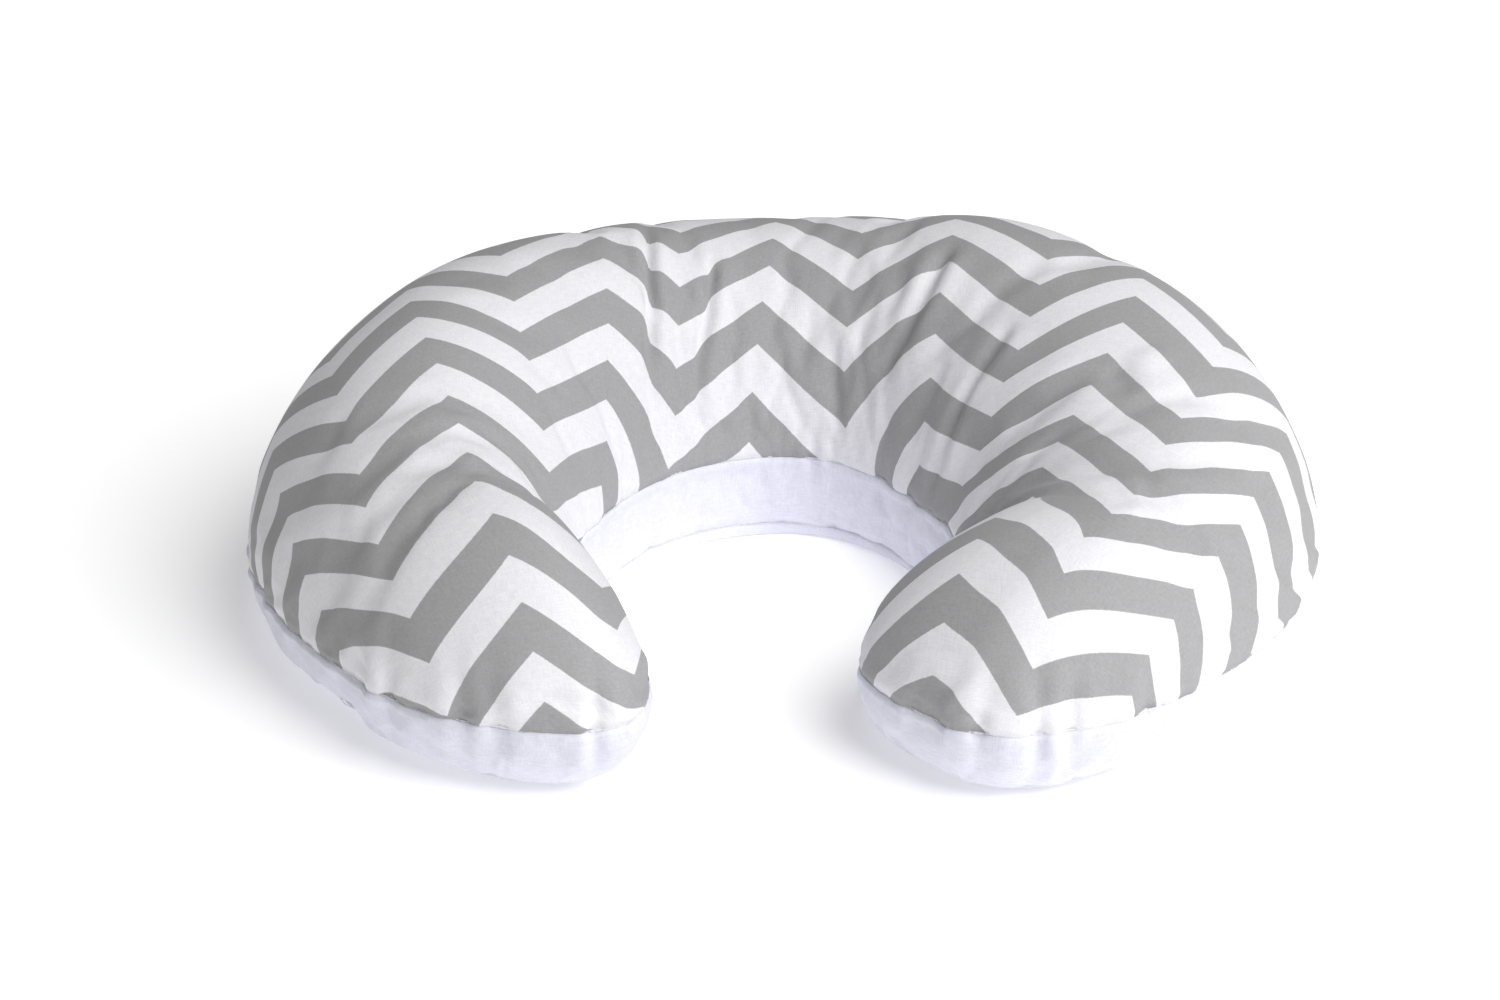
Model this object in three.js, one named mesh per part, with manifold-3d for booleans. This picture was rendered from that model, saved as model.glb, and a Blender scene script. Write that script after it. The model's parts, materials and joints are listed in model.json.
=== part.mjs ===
// Nursing pillow: a stuffed, C-shaped pillow inside a zipped cotton slipcover.
// Millimetres, +Z up. It lies on its underside, with the opening of the C towards -Y.
//
// Every fabric piece is a thin shell that follows one pillow surface. A point of that surface is named by a
// station (an upright half section of the pillow, numbered round its outline) and a level (0 at the crown,
// 1 at the upper seam, 2 at the edge of the underside, 3 at the middle of the underside).
import * as THREE from "three";
import { mergeVertices } from "three/addons/utils/BufferGeometryUtils.js";
import Module from "manifold-3d";

const wasm = await Module();
wasm.setup();

// ---------- Driving dimensions ----------
const degree = Math.PI / 180;

// Centre line of the C, seen from above: one arc across the back and a tighter arc along each arm.
// A heading is an angle from the middle of the back, towards +X.
const backRadius = 187;
const backEnd = 95 * degree;
const armRadius = 138;
const armEnd = 134 * degree;

// Half widths and heights at the middle of the back, half way along an arm, and at the end of an arm.
const outerWidths = [90, 98, 70];
const innerWidths = [84, 97, 80];
const crownHeights = [154, 164, 132];
const lobeLength = 108; // how far a lobe's rounded tip reaches past the end of the centre line
const lobeRoundness = 2.1; // exponent of the tip's outline, 2 for an ellipse

const upperSeamHeight = 46;
const lowerSeamHeight = 8;
const crownRoundness = 1.8; // exponent of the section above the upper seam, 2 for an ellipse
const outerTuck = 44; // how far the underside's edge lies in from the outline, on the outside of the C
const innerTuck = 10; // the same on the inside

// Layers, as depths below the pillow surface.
const coverThickness = 1.2;
const seamThread = { from: 1.9, to: 2.7, halfHeight: 0.4 };
const casing = { from: 4.2, to: 5.0 };
const casingThread = { from: 3.1, to: 3.7, halfHeight: 0.4 };
const closingSteps = 5; // stations either side of the middle of the inner side that were closed by hand
const fillingDepth = 5.6;
const seamGap = 0.4; // between two panels where they meet at a seam

// Zip, in the side band across the back. Its chain runs round the back arc's centre.
const zipHeight = 33;
const chainLength = 290;
const zipPanelMargin = 8; // the zip's fabric strips run on past each end of the chain
const windowHalfHeight = 4.4; // the gap between the strips, which shows the chain
const tape = { from: 1.5, to: 2.1, width: 11, edge: 0.7 };
const chainRow = { near: 0.7, far: 2.9, front: -0.2, back: -1.1 };
const stop = { length: 3, halfHeight: 3.2, front: 0.6, back: -1.2 };
const stopGap = 0.4;
const slider = { length: 11, halfHeight: 3.9, front: 1.15, faceBack: 0.15, lip: -0.9, lipWidth: 0.6 };
const sliderBack = { front: -2.9, back: -3.8, halfWeb: 0.3 };
const bail = { halfLength: 3, halfWindow: 1.6, height: 4.2, bar: 1.0, halfWidth: 0.8, sunk: 0.3, shoulder: 1.2 };
const pull = {
  length: 22,
  halfWidth: 3,
  thickness: 0.9,
  halfPin: 0.5,
  pivot: 2.15,
  eye: 4.7,
  rail: 1.1,
  corner: 1.2,
};

// Care label, folded flat, hanging from the upper seam at the back.
const label = { heading: -50 * degree, width: 24, top: 43, middle: 33, bottom: 19, from: -1.3, to: -0.5 };

// Stations: the steps along the zip, along the rest of an arm, and round a lobe's tip.
const zipSteps = 8;
const armSteps = 13;
const tipSteps = 8;
const chainSteps = 48;
const crownLevels = [0, 0.22, 0.42, 0.62, 0.81, 1];
const undersideLevels = [2, 2.5, 3];

// ---------- The pillow surface ----------

// A value that eases from the back, through the middle of the arm, to the arm's end.
function alongArm([back, middle, end], share) {
  const ease = (t) => t * t * (3 - 2 * t);
  return share < 0.5
    ? back + (middle - back) * ease(share * 2)
    : middle + (end - middle) * ease(share * 2 - 1);
}

function polar(radius, heading) {
  return new THREE.Vector2(radius * Math.sin(heading), radius * Math.cos(heading));
}

function centreLine(heading) {
  if (heading <= backEnd) return polar(backRadius, heading);
  return polar(backRadius - armRadius, backEnd).add(polar(armRadius, heading));
}

// How far along the arm a heading lies. The zip's stretch of the back keeps one section all along.
function armShare(heading) {
  return Math.max(0, heading - zipPanelAngle) / (armEnd - zipPanelAngle);
}

function station(heading, reach, inner) {
  const centre = centreLine(heading);
  return {
    centre,
    width: reach.length(),
    outwards: reach.clone().normalize(),
    crown: alongArm(crownHeights, armShare(heading)),
    tuck: outerTuck + (innerTuck - outerTuck) * inner,
  };
}

function sideStation(heading, inner) {
  const width = alongArm(inner ? innerWidths : outerWidths, armShare(heading));
  return station(heading, polar(inner ? -width : width, heading), inner);
}

// Round the tip, from the outer side (turn 0) to the inner side (turn 180 degrees).
function tipStation(turn) {
  const bend = (value) => Math.sign(value) * Math.abs(value) ** (2 / lobeRoundness);
  const across = turn < Math.PI / 2 ? outerWidths[2] : innerWidths[2];
  const reach = polar(across * bend(Math.cos(turn)), armEnd).add(
    polar(lobeLength * bend(Math.sin(turn)), armEnd + Math.PI / 2),
  );
  return station(armEnd, reach, turn / Math.PI);
}

function mirrored(side) {
  const flip = (v) => new THREE.Vector2(-v.x, v.y);
  return { ...side, centre: flip(side.centre), outwards: flip(side.outwards) };
}

// The section: distance r from the centre line and height z, with its outward normal, sunk by a depth.
function sectionPoint({ width, crown, tuck }, level, depth) {
  const height = crown - upperSeamHeight;
  let r;
  let z;
  let normal;
  if (level <= 1) {
    const turn = (level * Math.PI) / 2;
    const across = Math.sin(turn) ** (2 / crownRoundness);
    const up = Math.abs(Math.cos(turn)) ** (2 / crownRoundness);
    r = width * across;
    z = upperSeamHeight + height * up;
    normal = new THREE.Vector2(across ** (crownRoundness - 1) / width, up ** (crownRoundness - 1) / height);
  } else if (level <= 2) {
    const turn = ((level - 1) * Math.PI) / 2;
    r = width - tuck * (1 - Math.cos(turn));
    z = upperSeamHeight * (1 - Math.sin(turn));
    normal = new THREE.Vector2(Math.cos(turn) / tuck, -Math.sin(turn) / upperSeamHeight);
  } else {
    r = (width - tuck) * (3 - level);
    z = 0;
    normal = new THREE.Vector2(0, -1);
  }
  normal.normalize();
  // On the centre line a sunk point stays on it, so that the two half sections still meet there.
  const onCentre = level === 0 || level === 3;
  return new THREE.Vector2(onCentre ? 0 : r - normal.x * depth, z - normal.y * depth);
}

function surfacePoint(side, level, depth) {
  const point = sectionPoint(side, level, depth);
  const plan = side.centre.clone().addScaledVector(side.outwards, point.x);
  return new THREE.Vector3(plan.x, plan.y, point.y);
}

// The level below the upper seam at which the surface has a height.
function levelAt(height) {
  return 1 + Math.asin(1 - height / upperSeamHeight) / (Math.PI / 2);
}

// ---------- The zip's place on the surface ----------
const zipTurn = ((levelAt(zipHeight) - 1) * Math.PI) / 2;
const zipRadius = backRadius + outerWidths[0] - outerTuck * (1 - Math.cos(zipTurn));
const zipLean = Math.atan2(outerTuck * Math.sin(zipTurn), upperSeamHeight * Math.cos(zipTurn));
const chainAngle = chainLength / 2 / zipRadius;
const zipPanelAngle = (chainLength / 2 + zipPanelMargin) / zipRadius;

// ---------- Stations round the whole outline ----------
const steps = (from, to, count) =>
  Array.from({ length: count + 1 }, (_, i) => from + ((to - from) * i) / count);

const zipHeadings = steps(0, zipPanelAngle, zipSteps);
const armHeadings = steps(zipPanelAngle, armEnd, armSteps);
const headings = [...zipHeadings, ...armHeadings.slice(1)];

const rightSide = [
  ...headings.map((heading) => sideStation(heading, 0)),
  ...steps(0, Math.PI, tipSteps).slice(1, -1).map(tipStation),
  ...headings.toReversed().map((heading) => sideStation(heading, 1)),
];
const outline = [...rightSide, ...rightSide.slice(1, -1).toReversed().map(mirrored)];

// The stretch of stations between two outline numbers, which may run on past the end of the list.
function stretch(from, to) {
  return Array.from({ length: to - from + 1 }, (_, i) => outline.at((from + i) % outline.length));
}

const zipStations = stretch(outline.length - zipSteps, outline.length + zipSteps);
const bandStations = stretch(zipSteps, outline.length - zipSteps);

// ---------- Geometry helpers ----------

function closedGeometry(triangles) {
  const geometry = new THREE.BufferGeometry();
  geometry.setAttribute("position", new THREE.Float32BufferAttribute(triangles.flat(), 3));
  const merged = mergeVertices(geometry, 1e-4);
  const kept = [];
  const index = merged.index.array;
  for (let i = 0; i < index.length; i += 3) {
    const [a, b, c] = index.slice(i, i + 3);
    if (a !== b && b !== c && c !== a) kept.push(a, b, c);
  }
  merged.setIndex(kept);
  return merged.toNonIndexed();
}

// A closed body between two grids of points with the same rows and columns: the outer grid, the inner grid,
// and a wall along each open edge. A ring's last column joins its first. Walls at the first or last row can
// be left out where that row has shrunk to the centre line.
function bodyBetween(outer, inner, { ring = false, wallFirst = true, wallLast = true } = {}) {
  const columns = outer.length;
  const rows = outer[0].length;
  const triangles = [];
  const quad = (a, b, c, d) => {
    for (const point of [a, b, c, a, c, d]) triangles.push(point.toArray());
  };
  for (let i = 0; i < (ring ? columns : columns - 1); i++) {
    const j = (i + 1) % columns;
    for (let k = 0; k + 1 < rows; k++) {
      quad(outer[i][k], outer[i][k + 1], outer[j][k + 1], outer[j][k]);
      quad(inner[i][k], inner[j][k], inner[j][k + 1], inner[i][k + 1]);
    }
    if (wallFirst) quad(outer[i][0], outer[j][0], inner[j][0], inner[i][0]);
    const end = rows - 1;
    if (wallLast) quad(outer[i][end], inner[i][end], inner[j][end], outer[j][end]);
  }
  if (!ring) {
    const last = columns - 1;
    for (let k = 0; k + 1 < rows; k++) {
      quad(outer[0][k], inner[0][k], inner[0][k + 1], outer[0][k + 1]);
      quad(outer[last][k], outer[last][k + 1], inner[last][k + 1], inner[last][k]);
    }
  }
  return facingOut(closedGeometry(triangles));
}

// Turns every face round if the body came out inside out.
function facingOut(geometry) {
  const p = geometry.getAttribute("position");
  const corner = (i) => new THREE.Vector3().fromBufferAttribute(p, i);
  let volume = 0;
  for (let i = 0; i < p.count; i += 3) volume += corner(i).dot(corner(i + 1).cross(corner(i + 2)));
  if (volume < 0) {
    for (let i = 0; i < p.count; i += 3) {
      const [b, c] = [corner(i + 1), corner(i + 2)];
      p.setXYZ(i + 1, ...c.toArray());
      p.setXYZ(i + 2, ...b.toArray());
    }
  }
  geometry.computeVertexNormals();
  return geometry;
}

// A fabric shell over some stations and levels, between two depths.
function fabricShell(stations, levels, from, to) {
  const grid = (depth) =>
    stations.map((side) => levels.map((level) => surfacePoint(side, level, depth)));
  return bodyBetween(grid(from), grid(to), {
    ring: stations.length === outline.length,
    wallFirst: levels[0] !== 0,
    wallLast: levels.at(-1) !== 3,
  });
}

// A solid that fills the whole pillow surface, sunk by a depth.
function filledSurface(levels, depth) {
  const triangles = [];
  outline.forEach((side, i) => {
    const next = outline[(i + 1) % outline.length];
    for (let k = 0; k + 1 < levels.length; k++) {
      const [a, b] = [side, side].map((s, n) => surfacePoint(s, levels[k + n], depth));
      const [d, c] = [next, next].map((s, n) => surfacePoint(s, levels[k + n], depth));
      for (const point of [a, b, c, a, c, d]) triangles.push(point.toArray());
    }
  });
  return facingOut(closedGeometry(triangles));
}

// A point of the zip: angle round the back, height up the leaning band, and distance out from its surface.
function zipPoint(angle, up, out) {
  const radius = zipRadius + up * Math.sin(zipLean) + out * Math.cos(zipLean);
  const plan = polar(radius, angle);
  return new THREE.Vector3(
    plan.x,
    plan.y,
    zipHeight + up * Math.cos(zipLean) - out * Math.sin(zipLean),
  );
}

// A bar of one cross-section, given as [up, out] corners, run round the zip's arc.
function alongZip(section, fromAngle, toAngle, count) {
  const faces = THREE.ShapeUtils.triangulateShape(
    section.map(([up, out]) => new THREE.Vector2(up, out)),
    [],
  );
  const triangles = [];
  const add = (...points) => points.forEach((point) => triangles.push(point.toArray()));
  const angles = steps(fromAngle, toAngle, count);
  const rings = angles.map((angle) => section.map(([up, out]) => zipPoint(angle, up, out)));
  for (let i = 0; i < count; i++) {
    section.forEach((_, k) => {
      const m = (k + 1) % section.length;
      add(rings[i][k], rings[i][m], rings[i + 1][m]);
      add(rings[i][k], rings[i + 1][m], rings[i + 1][k]);
    });
  }
  for (const [a, b, c] of faces) {
    add(rings[0][a], rings[0][c], rings[0][b]);
    add(rings[count][a], rings[count][b], rings[count][c]);
  }
  return facingOut(closedGeometry(triangles));
}

const rectangle = (low, high, back, front) => [[low, back], [high, back], [high, front], [low, front]];

function joined(first, second) {
  const solids = [first, second].map((geometry) => {
    const bare = new THREE.BufferGeometry().setAttribute("position", geometry.getAttribute("position"));
    const merged = mergeVertices(bare, 1e-4);
    return new wasm.Manifold(
      new wasm.Mesh({
        numProp: 3,
        vertProperties: merged.attributes.position.array,
        triVerts: new Uint32Array(merged.index.array),
      }),
    );
  });
  const mesh = solids[0].add(solids[1]).getMesh();
  const geometry = new THREE.BufferGeometry();
  geometry.setAttribute("position", new THREE.BufferAttribute(mesh.vertProperties, 3));
  geometry.setIndex(new THREE.BufferAttribute(mesh.triVerts, 1));
  geometry.computeVertexNormals();
  return geometry;
}

// ---------- Materials ----------
const material = (color, roughness, metalness = 0) =>
  new THREE.MeshStandardMaterial({ color, roughness, metalness });

const printedCotton = () => material(0xc9c9ca, 0.9);
const whiteCotton = () => material(0xecedf5, 0.9);
const thread = () => material(0xf2f2f2, 0.8);
const zipTape = () => material(0xe9e9ee, 0.85);
const nylon = () => material(0xf0f0f2, 0.45);
const nickel = () => material(0xb9bbc0, 0.3, 1);
const satin = () => material(0xf7f7f7, 0.5);
const casingCloth = () => material(0xf3f3f0, 0.95);
const fibre = () => material(0xfafafa, 1);

const pillow = new THREE.Group();

function addPiece(name, geometry, itsMaterial, parent = pillow) {
  const mesh = new THREE.Mesh(geometry, itsMaterial);
  mesh.name = name;
  parent.add(mesh);
  return mesh;
}

// ---------- Slipcover ----------
const lowerSeam = levelAt(lowerSeamHeight);
const levelGap = seamGap / 2 / upperSeamHeight;
const shell = (stations, levels) => fabricShell(stations, levels, 0, coverThickness);

function addCover() {
  const topLevels = [...crownLevels.slice(0, -1), 1 - levelGap];
  addPiece("cover_top_panel", shell(outline, topLevels), printedCotton());

  const bandTop = 1 + levelGap;
  const bandBottom = lowerSeam - levelGap;
  const bandLevels = [bandTop, levelAt(zipHeight + windowHalfHeight), levelAt(zipHeight - windowHalfHeight)];
  const band = trimEnds(bandStations);
  addPiece("cover_side_band", shell(band, [...bandLevels, bandBottom]), whiteCotton());
  addPiece("zip_panel_upper", shell(zipStations, bandLevels.slice(0, 2)), whiteCotton());
  const tapeEdge = levelAt(zipHeight - tape.width);
  addPiece("zip_panel_lower", shell(zipStations, [bandLevels[2], tapeEdge, bandBottom]), whiteCotton());

  const underLevels = [lowerSeam + levelGap, ...undersideLevels];
  addPiece("cover_bottom_panel", shell(outline, underLevels), whiteCotton());
}

// Moves a stretch's two end stations in by half a seam gap, so that it clears the piece it is sewn to.
function trimEnds(stations) {
  const share = seamGap / backRadius / (armHeadings[1] - armHeadings[0]);
  const nudged = (end, next) => ({
    ...end,
    centre: end.centre.clone().lerp(next.centre, share),
    outwards: end.outwards.clone().lerp(next.outwards, share).normalize(),
  });
  return [nudged(stations[0], stations[1]), ...stations.slice(1, -1), nudged(stations.at(-1), stations.at(-2))];
}

function seamBead(stations, level, { from, to, halfHeight }) {
  const spread = halfHeight / upperSeamHeight;
  return fabricShell(stations, [level - spread, level + spread], from, to);
}

function addSeams() {
  addPiece("upper_seam_thread", seamBead(outline, 1, seamThread), thread());
  addPiece("lower_seam_thread", seamBead(outline, lowerSeam, seamThread), thread());
}

function addCareLabel() {
  const halfAngle = label.width / 2 / (backRadius + outerWidths[0]);
  const sides = [-halfAngle, 0, halfAngle].map((turn) =>
    mirrored(sideStation(-label.heading + turn, 0)),
  );
  const levels = [label.top, label.middle, label.bottom].map(levelAt);
  addPiece("care_label", fabricShell(sides, levels, label.from, label.to), satin());
}

// ---------- Inner pillow ----------
function addInnerPillow() {
  const { from, to } = casing;
  const lowLevels = [1 + levelGap, lowerSeam, ...undersideLevels];
  const topLevels = [...crownLevels.slice(0, -1), 1 - levelGap];
  addPiece("casing_top", fabricShell(outline, topLevels, from, to), casingCloth());
  addPiece("casing_bottom", fabricShell(outline, lowLevels, from, to), casingCloth());
  addPiece("fibre_filling", filledSurface([...crownLevels, lowerSeam, ...undersideLevels], fillingDepth), fibre());

  // The filling went in at the middle of the inner side, which was then closed by hand.
  const innerBack = rightSide.length - 1;
  const closed = stretch(innerBack - closingSteps, innerBack + closingSteps);
  const rest = stretch(innerBack + closingSteps, innerBack - closingSteps + outline.length);
  addPiece("casing_seam_thread", seamBead(trimEnds(rest), 1, casingThread), thread());
  addPiece("casing_closing_stitches", seamBead(closed, 1, casingThread), thread());
}

// ---------- Zip ----------
function addTapes() {
  const strip = (low, high) =>
    fabricShell(zipStations, [levelAt(zipHeight + high), levelAt(zipHeight + low)], tape.from, tape.to);
  addPiece("zip_tape_upper", strip(tape.edge, tape.width), zipTape());
  addPiece("zip_tape_lower", strip(-tape.width, -tape.edge), zipTape());
}

function addChain() {
  const { near, far, front, back } = chainRow;
  const end = chainAngle - (stop.length + stopGap) / zipRadius;
  const row = (low, high) => alongZip(rectangle(low, high, back, front), -end, end, chainSteps);
  addPiece("zip_teeth_upper", row(near, far), nylon());
  addPiece("zip_teeth_lower", row(-far, -near), nylon());

  const clamp = rectangle(-stop.halfHeight, stop.halfHeight, stop.back, stop.front);
  const inner = chainAngle - stop.length / zipRadius;
  addPiece("zip_start_stop", alongZip(clamp, -chainAngle, -inner, 1), nickel());
  addPiece("zip_end_stop", alongZip(clamp, inner, chainAngle, 1), nickel());
}

// At rest the zip is closed, with the slider against the end stop.
const sliderReach = (stop.length + stopGap + slider.length / 2) / zipRadius;
const sliderAngle = chainAngle - sliderReach;

// The slider's own frame at rest: x along the zip, y out from the band, z up the band.
function sliderFrame() {
  const frame = new THREE.Group();
  const out = zipPoint(sliderAngle, 0, 1).sub(zipPoint(sliderAngle, 0, 0));
  const up = zipPoint(sliderAngle, 1, 0).sub(zipPoint(sliderAngle, 0, 0));
  const along = new THREE.Vector3().crossVectors(out, up);
  frame.quaternion.setFromRotationMatrix(new THREE.Matrix4().makeBasis(along, out, up));
  frame.position.copy(zipPoint(sliderAngle, 0, 0));
  return frame;
}

// An upright plate, drawn as [along, out] corners and given a thickness up the band.
function plateAcross(corners, halfThickness) {
  const shape = new THREE.Shape(corners.map(([along, out]) => new THREE.Vector2(along, out)));
  const geometry = new THREE.ExtrudeGeometry(shape, { depth: 2 * halfThickness, bevelEnabled: false });
  return geometry.translate(0, 0, -halfThickness);
}

function sliderBodyGeometry() {
  const { halfHeight: high, front, faceBack, lip, lipWidth } = slider;
  const { front: webEnd, back, halfWeb } = sliderBack;
  const halfSection = [
    [high, front],
    [high, lip],
    [high - lipWidth, lip],
    [high - lipWidth, faceBack],
    [halfWeb, faceBack],
    [halfWeb, webEnd],
    [high, webEnd],
    [high, back],
  ];
  const mirror = halfSection.toReversed().map(([up, out]) => [-up, out]);
  const section = [...halfSection, ...mirror].map(([up, out]) => new THREE.Vector2(out, up));
  const geometry = new THREE.ExtrudeGeometry(new THREE.Shape(section), {
    depth: slider.length,
    bevelEnabled: false,
  });
  geometry.translate(0, 0, -slider.length / 2);
  // The section was drawn out along x and up along y, and extruded along z: turn it to the slider's frame.
  geometry.applyMatrix4(
    new THREE.Matrix4().makeBasis(
      new THREE.Vector3(0, 1, 0),
      new THREE.Vector3(0, 0, 1),
      new THREE.Vector3(1, 0, 0),
    ),
  );
  return geometry;
}

function bailGeometry() {
  const { halfLength, halfWindow, height, bar, halfWidth, sunk, shoulder } = bail;
  const foot = slider.front - sunk;
  return plateAcross(
    [
      [-halfLength, foot],
      [-halfWindow, foot],
      [-halfWindow, height - bar],
      [halfWindow, height - bar],
      [halfWindow, foot],
      [halfLength, foot],
      [halfLength, height - shoulder],
      [halfLength - shoulder, height],
      [shoulder - halfLength, height],
      [-halfLength, height - shoulder],
    ],
    halfWidth,
  );
}

// The pull lies back over the closed chain. Its end pin sits under the bail, and its eye clears the bail.
function pullGeometry() {
  const { length, halfWidth, thickness, halfPin, eye, rail, corner } = pull;
  const shape = new THREE.Shape();
  shape.moveTo(halfPin, -halfWidth);
  shape.lineTo(halfPin, halfWidth);
  shape.lineTo(corner - length, halfWidth);
  shape.absarc(corner - length, halfWidth - corner, corner, Math.PI / 2, Math.PI, false);
  shape.absarc(corner - length, corner - halfWidth, corner, Math.PI, 1.5 * Math.PI, false);
  shape.closePath();
  const inside = halfWidth - rail;
  const hole = new THREE.Path([
    new THREE.Vector2(-halfPin, -inside),
    new THREE.Vector2(-eye, -inside),
    new THREE.Vector2(-eye, inside),
    new THREE.Vector2(-halfPin, inside),
  ]);
  shape.holes.push(hole);
  const geometry = new THREE.ExtrudeGeometry(shape, {
    depth: thickness,
    bevelEnabled: false,
    curveSegments: 3,
  });
  geometry.translate(0, 0, -thickness / 2);
  return geometry.rotateX(-Math.PI / 2);
}

function addSlider() {
  const frame = sliderFrame();
  pillow.add(frame);
  const body = joined(sliderBodyGeometry(), bailGeometry());
  addPiece("zip_slider", body, nickel(), frame);
  const tab = addPiece("zip_pull", pullGeometry(), nickel(), frame);
  tab.position.y = pull.pivot;
}

addCover();
addSeams();
addCareLabel();
addInnerPillow();
addTapes();
addChain();
addSlider();

// The origin is the middle of the footprint's box, on the surface that the pillow lies on.
pillow.updateMatrixWorld(true);
const box = new THREE.Box3().setFromObject(pillow, true);
const middle = box.getCenter(new THREE.Vector3());
pillow.position.set(-middle.x, -middle.y, -box.min.z);

const part = new THREE.Group();
part.add(pillow);
export default part;
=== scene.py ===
"""The looks of a nursing pillow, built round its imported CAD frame.

The slipcover is one surface, described by stations and levels as the CAD describes it, with its own values
for the left and the right arm. A cloth simulation gathers it, and it is then cut along its seams into panels.
Metres throughout. Pillow coordinates have their origin under the centre of the back's arc, on the zip's axis.
"""

import json
import math

import bpy
import numpy as np
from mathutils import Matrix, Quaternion, Vector, noise


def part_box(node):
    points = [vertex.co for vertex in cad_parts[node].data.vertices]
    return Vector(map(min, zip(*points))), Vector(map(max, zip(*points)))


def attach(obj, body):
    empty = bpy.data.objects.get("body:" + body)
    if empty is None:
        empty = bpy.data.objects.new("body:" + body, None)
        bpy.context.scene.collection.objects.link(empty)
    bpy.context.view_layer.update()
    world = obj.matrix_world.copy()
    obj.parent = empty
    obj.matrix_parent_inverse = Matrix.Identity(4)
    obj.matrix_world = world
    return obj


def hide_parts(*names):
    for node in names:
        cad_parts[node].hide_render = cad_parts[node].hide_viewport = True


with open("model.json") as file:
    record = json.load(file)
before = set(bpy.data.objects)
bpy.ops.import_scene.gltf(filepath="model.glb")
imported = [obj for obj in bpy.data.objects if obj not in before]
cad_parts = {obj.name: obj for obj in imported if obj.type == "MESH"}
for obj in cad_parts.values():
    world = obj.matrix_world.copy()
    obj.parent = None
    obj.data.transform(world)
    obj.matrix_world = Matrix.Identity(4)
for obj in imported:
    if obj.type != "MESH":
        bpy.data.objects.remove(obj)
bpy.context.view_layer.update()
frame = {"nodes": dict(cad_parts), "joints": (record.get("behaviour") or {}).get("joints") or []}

DEGREE = math.pi / 180
MM = 0.001

# ---------- Driving dimensions ----------
# The centre line of the C: an arc across the back and a tighter arc along each arm.
BACK_RADIUS = 0.187
BACK_END = 95 * DEGREE
ARM_RADIUS = 0.138

# The back arc's centre in the part's frame: the zip's slider turns about it.
ZIP_JOINT = next(j for j in frame["joints"] if j["name"] == "zip_slide")
PILLOW_ORIGIN = np.array([ZIP_JOINT["pos_m"][0], ZIP_JOINT["pos_m"][1], 0.0])

# Each list holds the values at the middle of the back, half way along the arm, and at the arm's end.
ARMS = {
    1: {
        "end": 137.5 * DEGREE,
        "outer": [0.090, 0.1015, 0.0652],
        "inner": [0.084, 0.1080, 0.0919],
        "crown": [0.1515, 0.1605, 0.1173],
        "lobe": 0.1138,
        "round_outer": 1.91,
        "round_inner": 3.18,
    },
    -1: {
        "end": 128.6 * DEGREE,
        "outer": [0.090, 0.1098, 0.0698],
        "inner": [0.084, 0.0880, 0.0657],
        "crown": [0.1515, 0.1640, 0.1285],
        "lobe": 0.1086,
        "round_outer": 1.70,
        "round_inner": 1.70,
    },
}

# Where the stuffing is fuller or slacker: heading, half width, and what it adds to the crown and to the outer
# width.
BULGES = [
    (38 * DEGREE, 17 * DEGREE, 0.0085, 0.0),
    (-64 * DEGREE, 13 * DEGREE, -0.004, -0.008),
]

# Height of the upper seam: at the zip, outside and inside the arms, and round the lobes.
SEAM_AT_ZIP = 0.046
SEAM_OUTSIDE = 0.0383
SEAM_INSIDE = 0.0507
SEAM_AT_LOBE = 0.0428
LOBE_SEAM_FROM = 0.6  # share of the arm's length where the seam starts to change to its height at the lobe
LOWER_SEAM = 0.008
# How far in the band goes on its way down to the floor, outside and inside the C.
OUTER_TUCK = 0.038
INNER_TUCK = 0.010
CROWN_POWER = 1.24  # 1 makes the section above the upper seam an ellipse, more makes it more pointed

# The left lobe's inner corner is slack: it is pinched to a flatter point, and its edge is off the floor.
PINCH_FROM = 0.7  # share of the arm's length
PINCH_TURN = 140 * DEGREE
PINCH_WIDTH = 45 * DEGREE
PINCH_POWER = 0.5  # added to the crown power
PINCH_LIFT = 0.013

# The zip's fabric strips end at this heading.
ZIP_PANEL_END = math.asin(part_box("zip_panel_upper")[1].x / (BACK_RADIUS + ARMS[1]["outer"][0]))
ZIP_HEIGHT = 0.033
ZIP_WINDOW = 0.0044

# Grid of the top panel: columns along the zip, along the rest of each arm and into each lobe; rows across.
ZIP_COLUMNS = 48
ARM_COLUMNS = 54
LOBE_COLUMNS = 20
ROWS = 54
LEAST_STEP = 0.008  # the least distance from the rim for each step in from it, as a share of the width
SEAM_CROWDING = 0.55  # 0 spaces the rows evenly, more crowds them towards the seams
LENGTH_STEPS = 32  # for measuring the cloth's length

COVER_THICKNESS = 0.8 * MM


# ---------- The pillow surface ----------
def smooth(t):
    t = np.clip(t, 0, 1)
    return t * t * (3 - 2 * t)


def bell(distance, width):
    """1 at no distance, fading to nothing at about twice the width."""
    return np.exp(-((distance / width) ** 2))


def along_arm(values, share):
    back, middle, end = values
    first = back + (middle - back) * smooth(share * 2)
    second = middle + (end - middle) * smooth(share * 2 - 1)
    return np.where(share < 0.5, first, second)


def spine_length(heading):
    h = np.abs(heading)
    return BACK_RADIUS * np.minimum(h, BACK_END) + ARM_RADIUS * np.maximum(h - BACK_END, 0)


def directions(heading):
    """Unit vectors, seen from above: outwards, and onwards away from the back."""
    out = np.stack([np.sin(heading), np.cos(heading)], -1)
    sign = np.where(heading < 0, -1.0, 1.0)[..., None]
    onward = sign * np.stack([np.cos(heading), -np.sin(heading)], -1)
    return out, onward


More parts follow.
